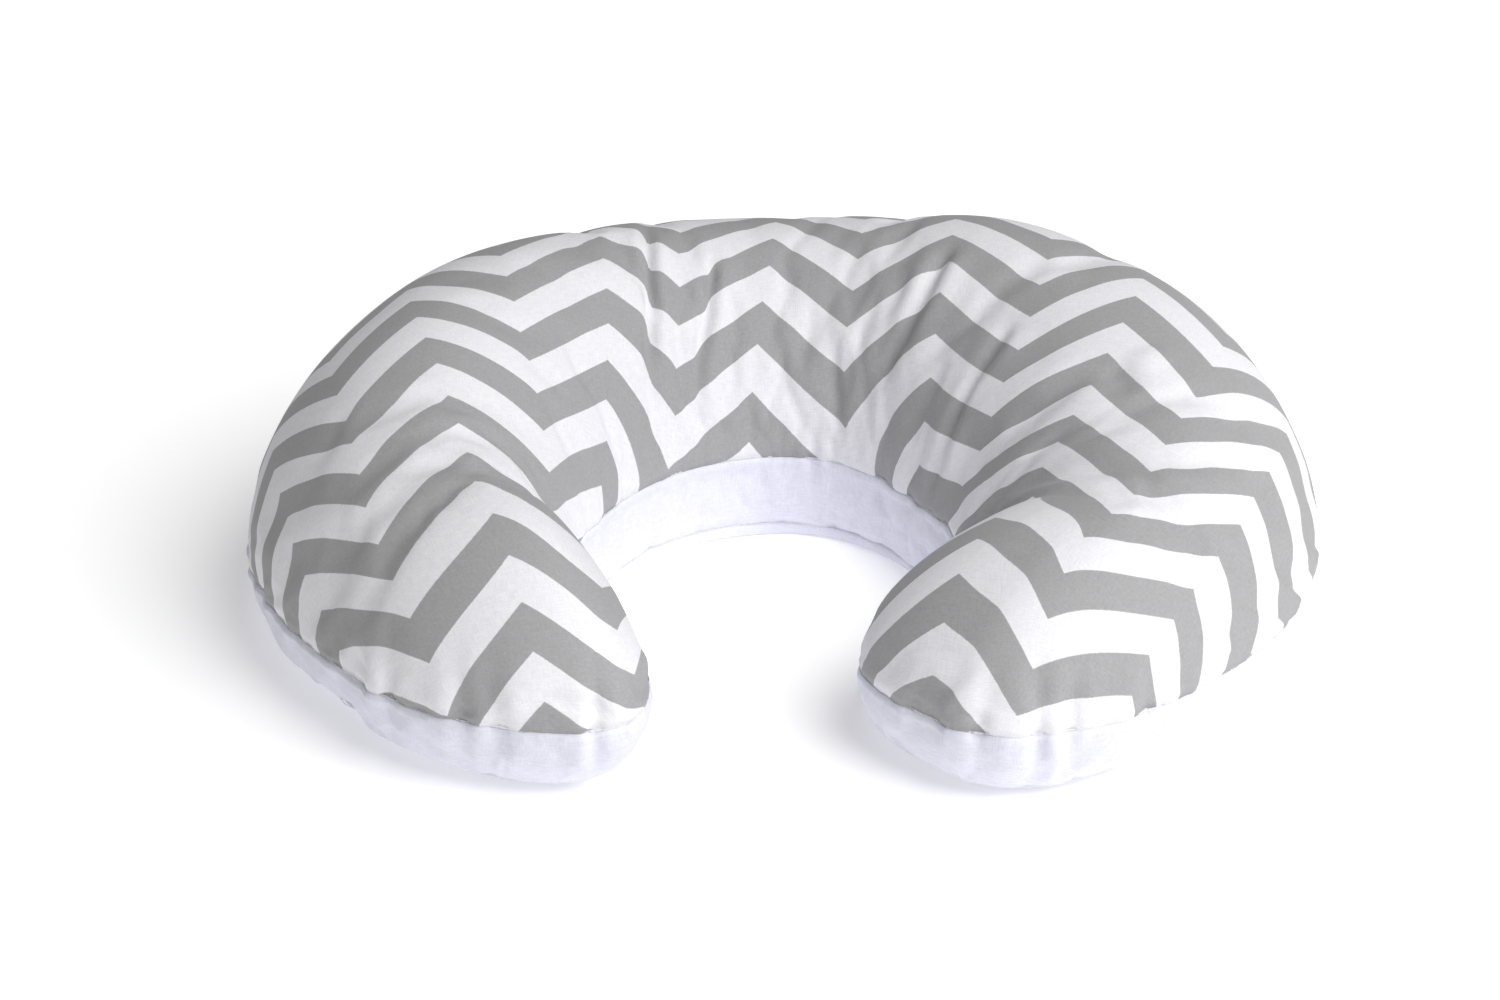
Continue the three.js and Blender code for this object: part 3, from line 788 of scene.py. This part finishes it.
def add_camera():
    camera = link(bpy.data.objects.new("camera", bpy.data.cameras.new("camera")))
    camera.data.lens = LENS
    camera.data.sensor_width = SENSOR_WIDTH
    camera.data.shift_x, camera.data.shift_y = CAMERA_SHIFT
    level = math.cos(CAMERA_ELEVATION)
    back = Vector(
        (math.sin(CAMERA_AZIMUTH) * level, -math.cos(CAMERA_AZIMUTH) * level, math.sin(CAMERA_ELEVATION))
    )
    camera.location = Vector(CAMERA_TARGET) + Vector(PILLOW_ORIGIN) + back * CAMERA_DISTANCE
    camera.rotation_mode = "QUATERNION"
    camera.rotation_quaternion = back.to_track_quat("Z", "Y") @ Quaternion((0, 0, 1), CAMERA_ROLL)
    bpy.context.scene.camera = camera


def add_sky():
    world = bpy.data.worlds.new("studio")
    bpy.context.scene.world = world
    world.use_nodes = True
    background = world.node_tree.nodes["Background"]
    background.inputs["Color"].default_value = (1.0, 1.0, 1.0, 1)
    background.inputs["Strength"].default_value = SKY_STRENGTH


def add_key_light():
    light = bpy.data.lights.new("key", "AREA")
    light.shape = "DISK"
    light.size = KEY_SIZE
    light.energy = KEY_POWER
    obj = link(bpy.data.objects.new("key", light))
    obj.location = KEY_POSITION
    obj.rotation_mode = "QUATERNION"
    obj.rotation_quaternion = (Vector(KEY_POSITION) - Vector(KEY_TARGET)).to_track_quat("Z", "Y")


def add_floor():
    corners = [(FLOOR_REACH * x, FLOOR_REACH * y, 0) for x, y in ((-1, -1), (1, -1), (1, 1), (-1, 1))]
    floor = new_mesh("floor", corners, [(0, 1, 2, 3)])
    white = Finish("floor_white", 1.0)
    white.colour((1.0, 1.0, 1.0, 1))
    white.plug("Emission Color", (1.0, 1.0, 1.0, 1))
    from_middle = white.node("ShaderNodeVectorMath", {0: white.position()}, output=1, operation="LENGTH")
    white.plug("Emission Strength", white.ramp(from_middle, GLOW_FROM, GLOW_TO, GLOW_NEAR, GLOW_FAR))
    floor.data.materials.append(white.material)


# ---------- Gathering the cloth ----------
CLOTH_EXCESS = 0.028  # how much longer than the stuffed form the cloth is
CLOTH_PRESSURE = 4.0
CLOTH_FRAMES = 20
CLOTH_LIMIT = 0.007  # the furthest a point may move
DRIFT_REMOVED = 0.9  # how much of the slow, even part of the movement is taken back
HELD_SEAM = 0.55
HELD_CLOTH = 0.12
# In levels: how near the upper seam the cloth is held like the seam, and how soon it is held underneath.
HELD_SEAM_REACH = 0.06
HELD_UNDER_FADE = 0.3
# The zip is held fully between these levels, and the hold fades out past them and past the zip's ends.
ZIP_HELD = 0.86, 1.9
ZIP_HELD_FADE = 0.18, 0.1
ZIP_END_FADE = 6 * DEGREE


def vertex_fields():
    """Heading, turn and level of every vertex of the cover."""
    heading = stack(GRID_HEADING, GRID_HEADING, lambda level: RIM_HEADING)
    turn = stack(GRID_TURN, GRID_TURN, lambda level: RIM_TURN)
    level = stack(GRID_LEVEL, 3 - GRID_LEVEL, lambda level: np.full(RIM_COUNT, level))
    return heading, turn, level


def zip_hold():
    """1 on the stretch of the band that carries the zip, fading out round it."""
    heading, turn, level = vertex_fields()
    past_end = (np.abs(heading) - ZIP_PANEL_END) / ZIP_END_FADE
    above = (ZIP_HELD[0] - level) / ZIP_HELD_FADE[0]
    below = (level - ZIP_HELD[1]) / ZIP_HELD_FADE[1]
    hold = 1 - smooth(np.maximum.reduce([past_end, above, below]))
    return np.where(turn < math.pi / 2, hold, 0.0)


def gather_cloth(obj):
    """Lets slightly oversized cloth settle over the stuffing, held more firmly at its seam and underneath."""
    _, _, level = vertex_fields()
    near_seam = bell(level - 1, HELD_SEAM_REACH)
    underneath = smooth((level - LOWER_SEAM_LEVEL) / HELD_UNDER_FADE)
    hold = HELD_CLOTH + (HELD_SEAM - HELD_CLOTH) * near_seam
    hold = np.maximum.reduce([hold, underneath, zip_hold()])
    group = obj.vertex_groups.new(name="hold")
    for i, weight in enumerate(hold):
        group.add([i], float(weight), "REPLACE")
    start = read_points(obj)
    modifier = obj.modifiers.new("cloth", "CLOTH")
    cloth = modifier.settings
    cloth.quality = 6
    cloth.mass = 0.15
    cloth.tension_stiffness = 15
    cloth.compression_stiffness = 15
    cloth.shear_stiffness = 5
    cloth.bending_stiffness = 0.3
    cloth.air_damping = 2
    cloth.use_pressure = True
    cloth.uniform_pressure_force = CLOTH_PRESSURE
    cloth.shrink_min = -CLOTH_EXCESS
    cloth.vertex_group_mass = "hold"
    cloth.pin_stiffness = 1.0
    cloth.effector_weights.gravity = 0
    modifier.collision_settings.use_collision = False
    modifier.collision_settings.use_self_collision = False
    modifier.point_cache.frame_start = 1
    modifier.point_cache.frame_end = CLOTH_FRAMES
    scene = bpy.context.scene
    for number in range(1, CLOTH_FRAMES + 1):
        scene.frame_set(number)
    apply_modifiers(obj)
    scene.frame_set(1)
    moved = read_points(obj) - start
    moved -= DRIFT_REMOVED * spread_out(obj, moved)
    distance = np.maximum(np.linalg.norm(moved, axis=1), 1e-9)[:, None]
    write_points(obj, start + moved / distance * CLOTH_LIMIT * np.tanh(distance / CLOTH_LIMIT))


def spread_out(obj, values, rounds=90):
    """The values averaged with their neighbours again and again, which leaves only what changes slowly."""
    edges = np.zeros(len(obj.data.edges) * 2, np.int32)
    obj.data.edges.foreach_get("vertices", edges)
    a, b = edges.reshape(-1, 2).T
    count = len(values)
    neighbours = np.bincount(a, minlength=count) + np.bincount(b, minlength=count)
    for _ in range(rounds):
        sums = [np.bincount(a, v[b], count) + np.bincount(b, v[a], count) for v in values.T]
        values = (values + np.stack(sums, 1) / neighbours[:, None]) / 2
    return values


# ---------- Seams and puckers ----------
SEAM_DITCH = 0.0012
SEAM_DITCH_WIDTH = 0.0022
SEAM_RIDGE = 0.0007
SEAM_RIDGE_WIDTH = 0.0016
SEAM_RIDGE_BELOW = 0.003  # the ridge's distance below the seam
PUCKER_DEPTH = 0.0016
PUCKER_REACH = 0.016
PUCKER_SPACING = 0.016
FINE_PUCKER_SPACING = PUCKER_SPACING / 2.2
FINE_PUCKERS = 0.5  # their depth, as a share of the others'
PUCKER_PATCHES = 0.09  # the size of the stretches of seam with more puckers
PUCKER_LEAST, PUCKER_MORE = 0.4, 1.2

# Folds in the cloth over the crown, in millimetres: points seen from above, half width, depth, tucked cloth.
CROWN_FOLDS = [
    # The left shoulder: two sharp folds that run down to the inner seam.
    ([(-69, 186), (-68, 121), (-70, 98), (-69, 85), (-71, 64)], 3.2, 3.6, 15),
    ([(-32, 158), (-37, 129), (-43, 111), (-45, 90)], 3.2, 3.8, 9),
    # The right shoulder.
    ([(94, 132), (77, 107), (66, 96), (53, 94), (38, 94)], 5, 4.0, 0),
    ([(30, 118), (30, 106), (29, 96)], 4, 1.8, 0),
    ([(100, 48), (83, 35), (72, 30)], 4, 3.2, 0),
    ([(118, 62), (108, 53), (95, 44)], 5, 2.4, 0),
    # Long folds that fan out of the right arm's inner corner.
    ([(78, 24), (105, 3), (143, -6)], 7, 3.2, 0),
    ([(84, 26), (124, 5), (172, 6)], 7, 2.8, 0),
    ([(160, 8), (165, -4), (172, -14)], 9, 3.5, 0),
    # A slack hollow low on the outside of the left lobe.
    ([(-246, -66), (-236, -82), (-222, -98), (-206, -118)], 11, 3.5, 0),
    ([(-236, -104), (-222, -122), (-208, -134)], 8, 2.2, 0),
]
# Gathers that start at the upper seam, seen from above from the seam upwards.
SEAM_GATHERS = [
    ([(-203, -143), (-200, -128)], 5, 2.4, 0),
    ([(-167, -168), (-168, -148)], 5, 2.8, 0),
    ([(-151, -175), (-155, -158), (-158, -146)], 6, 2.6, 0),
    ([(-104, -182), (-104, -160)], 4, 2.2, 0),
    ([(46, -168), (56, -168)], 4, 2.6, 0),
    ([(53, -176), (66, -178)], 4, 2.6, 0),
    ([(75, -191), (84, -182)], 5, 2.2, 0),
    ([(103, -195), (101, -176)], 5, 3.6, 0),
    ([(117, -194), (123, -178)], 5, 3.4, 0),
    ([(157, -176), (154, -158)], 6, 2.4, 0),
    ([(18, 96), (17, 104)], 4, 2.2, 0),
    ([(28, 91), (26, 99)], 5, 1.6, 0),
    ([(52, 72), (60, 79)], 5, 1.8, 0),
    ([(66, 50), (75, 55)], 5, 1.8, 0),
]
# How strongly a fold shows at its start and its end, before smoothing, and how much of it fades in and out.
FOLD_START, FOLD_END = 0.15, 0.1
FOLD_FADE_IN, FOLD_FADE_OUT = 0.25, 0.5
FOLD_OVERRUN = 0.014
GATHER_HEIGHT = 0.03
UNDERSIDE_FADE = 0.01
PRINT_TUCK_REACH = 0.045
# A fold's two ridges as shares of its half width and of its depth.
RIDGE_OFFSET = 1.9
RIDGE_WIDTH = 1.5
NEAR_RIDGE, FAR_RIDGE = 0.55, 0.3
TUCK_WIDTH = 0.35  # as a share of the fold's half width


def along_path(plan, path):
    """Signed distance from a path seen from above, share along it, and distance past its start or end."""
    path = np.array(path, float) * MM
    lengths = np.linalg.norm(np.diff(path, axis=0), axis=1)
    best = np.full(len(plan), 1e9)
    side, share, past = np.zeros(len(plan)), np.zeros(len(plan)), np.zeros(len(plan))
    for i, length in enumerate(lengths):
        direction = (path[i + 1] - path[i]) / length
        relative = plan - path[i]
        onward = relative @ direction
        kept = np.clip(onward, 0, length)
        distance = np.linalg.norm(relative - kept[:, None] * direction, axis=1)
        nearer = distance < best
        best = np.where(nearer, distance, best)
        side = np.where(nearer, relative @ np.array([-direction[1], direction[0]]), side)
        share = np.where(nearer, (lengths[:i].sum() + kept) / lengths.sum(), share)
        past = np.where(nearer, onward - kept, past)
    return side, share, past


def fold_strength(share, past, from_seam):
    """How strongly a fold shows: it fades at both ends, or only at its upper end if it starts at a seam."""
    fade_in = 1.0 if from_seam else smooth(FOLD_START + share / FOLD_FADE_IN)
    return bell(past, FOLD_OVERRUN) * fade_in * smooth(FOLD_END + (1 - share) / FOLD_FADE_OUT)


def fold_cloth(obj):
    """Presses the noted folds into the subdivided cover, and hides the print that is tucked into them."""
    points, normals = read_points(obj), read_normals(obj)
    rest, flat = read_attribute(obj, "rest", 3), read_attribute(obj, "print", 3)
    plan = rest[:, :2]
    fall, to_lower = read_attribute(obj, "fall"), read_attribute(obj, "drop_to_lower")
    above_underside = smooth(1 - to_lower / UNDERSIDE_FADE)
    free = (1 - read_attribute(obj, "zip_hold")) * above_underside
    push = np.zeros(len(points))
    folds = [(fold, False) for fold in CROWN_FOLDS] + [(fold, True) for fold in SEAM_GATHERS]
    for (path, width, depth, tuck), from_seam in folds:
        side, share, past = along_path(plan, path)
        width, depth, tuck = width * MM, depth * MM, tuck * MM
        strength = fold_strength(share, past, from_seam) * free
        if from_seam:
            strength *= bell(fall, GATHER_HEIGHT)
        across = side / width
        near_ridge = NEAR_RIDGE * bell(across - RIDGE_OFFSET, RIDGE_WIDTH)
        far_ridge = FAR_RIDGE * bell(across + RIDGE_OFFSET, RIDGE_WIDTH)
        push += depth * strength * (near_ridge + far_ridge - bell(across, 1))
        tucked = tuck / 2 * np.tanh(across / TUCK_WIDTH) * np.clip(1 - np.abs(side) / PRINT_TUCK_REACH, 0, 1)
        flat[:, 0] += tucked * strength
    write_points(obj, points + normals * push[:, None])
    obj.data.attributes["print"].data.foreach_set("vector", flat.astype(np.float32).ravel())


def noise_at(points, size, seed=0.0):
    offset = seed * Vector((1.0, 1.7, 0.3))
    return np.array([noise.noise(Vector(p) / size + offset) for p in points])


def sew(obj):
    """Sinks the subdivided cover's seams, raises the band just below, and puckers the cloth beside them."""
    points, normals = read_points(obj), read_normals(obj)
    fall, to_lower = read_attribute(obj, "fall"), read_attribute(obj, "drop_to_lower")
    foot = read_attribute(obj, "foot", 3)
    push = SEAM_RIDGE * bell(fall - SEAM_RIDGE_BELOW, SEAM_RIDGE_WIDTH)
    push -= SEAM_DITCH * bell(fall, SEAM_DITCH_WIDTH)
    on_band = fall > 0
    push -= np.where(on_band, SEAM_DITCH * bell(to_lower, SEAM_DITCH_WIDTH), 0)
    free = 1 - read_attribute(obj, "zip_hold")
    waves = noise_at(foot, PUCKER_SPACING) + FINE_PUCKERS * noise_at(foot, FINE_PUCKER_SPACING, seed=3.0)
    patches = noise_at(foot, PUCKER_PATCHES, seed=5.0)
    strength = PUCKER_LEAST + PUCKER_MORE * np.clip(patches + 0.3, 0, 1)
    push += free * PUCKER_DEPTH * waves * strength * np.exp(-np.abs(fall) / PUCKER_REACH)
    write_points(obj, points + normals * push[:, None])


CORNER_REACH = 0.006
CORNER_ROUNDS = 8
NO_CORNER = 1.0  # a distance too far away to count


def ease_corners(obj):
    """Evens out the cover round the corners of the panels' grids, whose cells lie flat against the rim."""
    points, rest = read_points(obj), read_attribute(obj, "rest", 3)
    eased = spread_out(obj, points, CORNER_ROUNDS)
    distance = np.full(len(points), NO_CORNER)
    for level in (1, 2):
        ring = surface(GRID, np.full_like(GRID_LEVEL, level))
        for corner in (ring[0, 0], ring[0, -1], ring[-1, 0], ring[-1, -1]):
            distance = np.minimum(distance, np.linalg.norm(rest - corner, axis=1))
    write_points(obj, points + (eased - points) * bell(distance, CORNER_REACH)[:, None])


# ---------- Thread ----------
STITCH_SIDES = 6
# Each ring's place along the stitch, and its size.
STITCH_RINGS = [(-0.5, 0.35), (-0.38, 0.85), (0.0, 1.0), (0.38, 0.85), (0.5, 0.35)]
THREAD_SIZE = 0.0005
STITCH_SPACING, STITCH_LENGTH = 0.0032, 0.0027
HAND_SPACING, HAND_LENGTH = 0.006, 0.005
HAND_SLANT = 0.7
CLOSED_BY_HAND = 11 * DEGREE
THREAD_DEPTH = SEAM_DITCH + 0.0003
CASING_THREAD_DEPTH = 0.0034


def even_path(points, spacing):
    """Points evenly spaced along a polyline."""
    steps = np.linalg.norm(np.diff(points, axis=0), axis=1)
    along = np.concatenate([[0], np.cumsum(steps)])
    count = max(2, int(round(along[-1] / spacing)) + 1)
    at = np.linspace(0, along[-1], count)
    return np.stack([np.interp(at, along, points[:, k]) for k in range(3)], 1)


def capsules(name, centres, along, up, length, width, height):
    """Small rounded bars: one per centre, lying along one direction, with up as their height's direction."""
    vertices, faces = [], []
    for centre, onward, upward in zip(centres, along, up):
        onward = onward / np.linalg.norm(onward)
        across = np.cross(onward, upward)
        across /= np.linalg.norm(across)
        upward = np.cross(across, onward)
        first = len(vertices)
        for share, size in STITCH_RINGS:
            for k in range(STITCH_SIDES):
                turn = 2 * math.pi * k / STITCH_SIDES
                sideways = across * math.cos(turn) * width / 2 * size
                lifted = upward * math.sin(turn) * height / 2 * size
                vertices.append(centre + onward * share * length + sideways + lifted)
        for ring in range(len(STITCH_RINGS) - 1):
            for k in range(STITCH_SIDES):
                start = first + ring * STITCH_SIDES + k
                end = first + ring * STITCH_SIDES + (k + 1) % STITCH_SIDES
                faces.append((start, end, end + STITCH_SIDES, start + STITCH_SIDES))
        last = first + (len(STITCH_RINGS) - 1) * STITCH_SIDES
        faces.append(tuple(first + k for k in reversed(range(STITCH_SIDES))))
        faces.append(tuple(last + k for k in range(STITCH_SIDES)))
    obj = new_mesh(name, np.array(vertices), faces)
    shade_smooth(obj)
    return obj


def stitch_row(name, points, outward, spacing=STITCH_SPACING, length=STITCH_LENGTH, slant=0.0):
    """A row of stitches along a line of points. Slant is each stitch's rise for its run."""
    path = even_path(points, spacing)
    out = even_path(points + outward, spacing)
    count = min(len(path), len(out)) - 1
    middle = (path[:count] + path[1 : count + 1]) / 2
    along = path[1 : count + 1] - path[:count]
    up = np.array([outward[int(i * len(outward) / count)] for i in range(count)])
    if slant:
        along = along / np.linalg.norm(along, axis=1)[:, None] + slant * np.array([0, 0, 1.0])
    return capsules(name, middle, along, up, length, THREAD_SIZE, THREAD_SIZE)


def upper_seam_path(form, depth, index):
    """Points along the upper seam, sunk, and their outward directions, which are nearly level."""
    points, normals = read_points(form)[RIM_TOP], read_normals(form)[RIM_TOP]
    outward = normals * np.array([1, 1, 0.2])
    outward /= np.linalg.norm(outward, axis=1)[:, None]
    return (points - outward * depth)[index], outward[index]


def lower_seam_path(form, depth, index):
    """Points along the lower seam, sunk, and their outward directions."""
    row = [band_index(LOWER_SEAM_ROW, r) for r in range(RIM_COUNT)]
    points, normals = read_points(form)[row], read_normals(form)[row]
    return (points - normals * depth)[index], normals[index]


def add_row(name, node, path, **stitches):
    place(stitch_row(name, *path, **stitches), THREAD, "thread", node)


def add_thread(form):
    """The cover's two seams, the inner casing's seam, and the gap in it that was closed by hand."""
    whole_rim = np.append(np.arange(RIM_COUNT), 0)
    by_hand = np.flatnonzero((np.abs(RIM_HEADING) < CLOSED_BY_HAND) & (RIM_TURN > math.pi / 2))
    machined = np.concatenate([np.arange(by_hand[-1], RIM_COUNT), np.arange(0, by_hand[0] + 1)])
    upper = upper_seam_path(form, THREAD_DEPTH, whole_rim)
    casing = upper_seam_path(form, CASING_THREAD_DEPTH, machined)
    closing = upper_seam_path(form, CASING_THREAD_DEPTH, by_hand)
    lower = lower_seam_path(form, THREAD_DEPTH, whole_rim)
    hand = {"spacing": HAND_SPACING, "length": HAND_LENGTH, "slant": HAND_SLANT}
    add_row("upper_seam_stitches", "upper_seam_thread", upper)
    add_row("casing_seam_stitches", "casing_seam_thread", casing)
    add_row("hand_stitches", "casing_closing_stitches", closing, **hand)
    add_row("lower_seam_stitches", "lower_seam_thread", lower)


# ---------- Zip ----------
ZIP_TURN = (level_at(ZIP_HEIGHT) - 1) * math.pi / 2
ZIP_RADIUS = BACK_RADIUS + ARMS[1]["outer"][0] - OUTER_TUCK * (1 - math.cos(ZIP_TURN))
ZIP_LEAN = math.atan2(OUTER_TUCK * math.sin(ZIP_TURN), SEAM_AT_ZIP * math.cos(ZIP_TURN))
CHAIN_LENGTH = 0.290
STOP_LENGTH = 0.0034
TOOTH_PITCH = 0.0015
TOOTH_LENGTH, TOOTH_WIDTH, TOOTH_HEIGHT = 0.0026, 0.0009, 0.0013
TOOTH_OFFSET = 0.0018  # from the chain's middle line
TOOTH_SUNK = 0.0003
TOOTH_STAGGER = 0.25  # each way, as a share of the pitch
TAPE_EDGE = 0.0007
TAPE_WIDTH = 0.011
TAPE_DEPTH = 0.0015
TAPE_THICKNESS = 0.0005
TAPE_FLAT = (0.315, 0.0115)
TAPE_COLUMNS, TAPE_ROWS = 121, 7
METAL_EDGE = 0.0003


def zip_point(angle, up, out):
    """A point near the chain: along it by an angle, up the band's slope and out from it."""
    radius = ZIP_RADIUS + up * math.sin(ZIP_LEAN) + out * math.cos(ZIP_LEAN)
    height = ZIP_HEIGHT + up * math.cos(ZIP_LEAN) - out * math.sin(ZIP_LEAN)
    return np.array([radius * math.sin(angle), radius * math.cos(angle), height])


def tape(name, low, high):
    """A zip tape. Its rest attribute holds the length along it and the height up it."""
    headings = np.linspace(-ZIP_PANEL_END, ZIP_PANEL_END, TAPE_COLUMNS)
    heights = np.linspace(low, high, TAPE_ROWS)
    levels = np.array([level_at(ZIP_HEIGHT + height) for height in heights])
    heading, level = np.meshgrid(headings, levels, indexing="ij")
    points = surface(stations(heading, np.zeros_like(heading)), level, TAPE_DEPTH).reshape(-1, 3)
    along = np.repeat(headings * ZIP_RADIUS, TAPE_ROWS)
    up = np.tile(heights, TAPE_COLUMNS)
    rest = np.stack([along, up, along * 0], 1)
    faces = grid_faces(TAPE_COLUMNS, TAPE_ROWS, lambda i, k: i * TAPE_ROWS + k)
    return new_mesh(name, points, [tuple(reversed(f)) for f in faces], {"rest": rest})


def teeth(name, side):
    """One side of the coil, as seen from outside: each turn of it is a bar across the chain."""
    end = CHAIN_LENGTH / 2 - STOP_LENGTH
    count = int(2 * end / TOOTH_PITCH)
    centres, along, up = [], [], []
    for i in range(count):
        angle = (-end + (i + 0.5 + TOOTH_STAGGER * side) * TOOTH_PITCH) / ZIP_RADIUS
        middle = zip_point(angle, 0, 0)
        centres.append(zip_point(angle, side * TOOTH_OFFSET, -TOOTH_SUNK))
        along.append(zip_point(angle, side, 0) - middle)
        up.append(zip_point(angle, 0, 1) - middle)
    return capsules(name, centres, along, up, TOOTH_LENGTH, TOOTH_WIDTH, TOOTH_HEIGHT)


def add_tape(name, node, low, high):
    strip = tape(name, low, high)
    add_sheet(strip, TAPE_THICKNESS, TAPE, "zip_tape", node, TAPE_FLAT, rests_on="inner_casing_under")


def finish_metal(name):
    """Eases the edges of one of the frame's own metal pieces, and plates it."""
    node = frame["nodes"][name]
    edge = node.modifiers.new("worn edges", "BEVEL")
    edge.width = METAL_EDGE
    edge.segments = 2
    node.data.materials.clear()
    node.data.materials.append(NICKEL)


def add_zip():
    add_tape("zip_tape_upper_woven", "zip_tape_upper", TAPE_EDGE, TAPE_WIDTH)
    add_tape("zip_tape_lower_woven", "zip_tape_lower", -TAPE_WIDTH, -TAPE_EDGE)
    place(teeth("zip_coil_upper", 1), NYLON, "zip_nylon", "zip_teeth_upper")
    place(teeth("zip_coil_lower", -1), NYLON, "zip_nylon", "zip_teeth_lower")
    for name in ("zip_start_stop", "zip_end_stop", "zip_slider", "zip_pull"):
        finish_metal(name)


# ---------- Care label ----------
LABEL_HEADING = -50 * DEGREE
LABEL_WIDTH = 0.024
LABEL_TOP = 0.0457
LABEL_BOTTOM = 0.019
LABEL_COLUMNS, LABEL_STEPS = 13, 19
LABEL_THICKNESS = 0.0002
LABEL_FLAT = (LABEL_WIDTH, 0.066)
# How far the ribbon's outer and inner halves stand off the band at the seam, and how much more at the fold.
OUTER_HALF = 0.0009, 0.0022
INNER_HALF = 0.0003, 0.0019
FOLD_DROP, FOLD_OUT = 1.02, 0.0026  # the fold itself, as a share of the drop and as a distance off the band
CURL, CURL_WAVE = 0.35, 1.8


def care_label():
    """A blank ribbon, folded in half across its lower end, with both ends in the upper seam."""
    radius = BACK_RADIUS + ARMS[1]["outer"][0]
    half = LABEL_WIDTH / 2 / radius
    headings = np.linspace(LABEL_HEADING - half, LABEL_HEADING + half, LABEL_COLUMNS)
    drops = np.linspace(0, 1, LABEL_STEPS)
    outer = [(drop, OUTER_HALF[0] + OUTER_HALF[1] * drop**2) for drop in drops]
    inner = [(drop, INNER_HALF[0] + INNER_HALF[1] * drop**2) for drop in drops[::-1]]
    profile = outer + [(FOLD_DROP, FOLD_OUT)] + inner
    rest, points = [], []
    for heading in headings:
        st = stations(np.array([heading]), np.zeros(1))
        curl = 1 + CURL * math.sin((heading - LABEL_HEADING) / half * CURL_WAVE)
        for drop, out in profile:
            level = level_at(LABEL_TOP + (LABEL_BOTTOM - LABEL_TOP) * drop)
            points.append(surface(st, np.array([level]), -out * curl)[0])
            rest.append((heading * radius, drop * (LABEL_TOP - LABEL_BOTTOM), 0.0))
    rows = len(profile)
    faces = grid_faces(LABEL_COLUMNS, rows, lambda i, k: i * rows + k)
    return new_mesh("care_label_ribbon", np.array(points), faces, {"rest": np.array(rest)})


def add_label():
    hung = {"held": "hung", "rests_on": "cover_band"}
    add_sheet(care_label(), LABEL_THICKNESS, SATIN, "satin_label", "care_label", LABEL_FLAT, **hung)


# ---------- Cover, casing and filling ----------
CASING_DEPTH = 0.0042
CASING_THICKNESS = 0.0006
CASING_FLAT = (0.7, 0.6)
FILLING_DEPTH = 0.0056


def sewn_cover():
    """The finished cover in one piece, and the gathered form under it, before its seams are sewn."""
    cover = build_cover()
    gather_cloth(cover)
    form = cover.copy()
    form.data = cover.data.copy()
    subdivide = cover.modifiers.new("finer", "SUBSURF")
    subdivide.levels = subdivide.render_levels = 1
    apply_modifiers(cover)
    fold_cloth(cover)
    sew(cover)
    ease_corners(cover)
    return cover, form


def add_cover(cover):
    """The cover's panels: piece, panel, material, slot, the frame's node, and the flat cloth for it."""
    for name, panel, material, slot, node, flat in (
        ("cover_top", "top", PRINTED, "printed_cotton", "cover_top_panel", (0.76, 0.61)),
        ("cover_band", "band", BAND_COTTON, "white_cotton", "cover_side_band", (2.2, 0.07)),
        ("zip_strip_upper", "zip_upper", BAND_COTTON, "white_cotton", "zip_panel_upper", (0.32, 0.012)),
        ("zip_strip_lower", "zip_lower", BAND_COTTON, "white_cotton", "zip_panel_lower", (0.32, 0.03)),
        ("cover_underside", "bottom", UNDER_COTTON, "white_cotton", "cover_bottom_panel", (0.6, 0.52)),
    ):
        add_sheet(cut_out(name, cover, [panel]), COVER_THICKNESS, material, slot, node, flat)


def add_casing(form):
    """The inner casing's two halves, which meet under the upper seam."""
    top = cut_out("inner_casing_top", form, PANELS[:1], CASING_DEPTH)
    under = cut_out("inner_casing_under", form, PANELS[1:], CASING_DEPTH)
    for obj, node in ((top, "casing_top"), (under, "casing_bottom")):
        add_sheet(obj, CASING_THICKNESS, CASING, "casing_cloth", node, CASING_FLAT)


def add_filling(form):
    filling = cut_out("inner_filling", form, PANELS, FILLING_DEPTH)
    shade_smooth(filling)
    place(filling, FIBRE, "fibre_fill", "fibre_filling")


# ---------- Assembly ----------
sewn, gathered = sewn_cover()
add_filling(gathered)
add_casing(gathered)
add_cover(sewn)
add_thread(gathered)
add_zip()
add_label()
for leftover in (sewn, gathered):
    bpy.data.objects.remove(leftover)

add_camera()
add_sky()
add_key_light()
add_floor()
bpy.context.scene.view_settings.view_transform = "Standard"
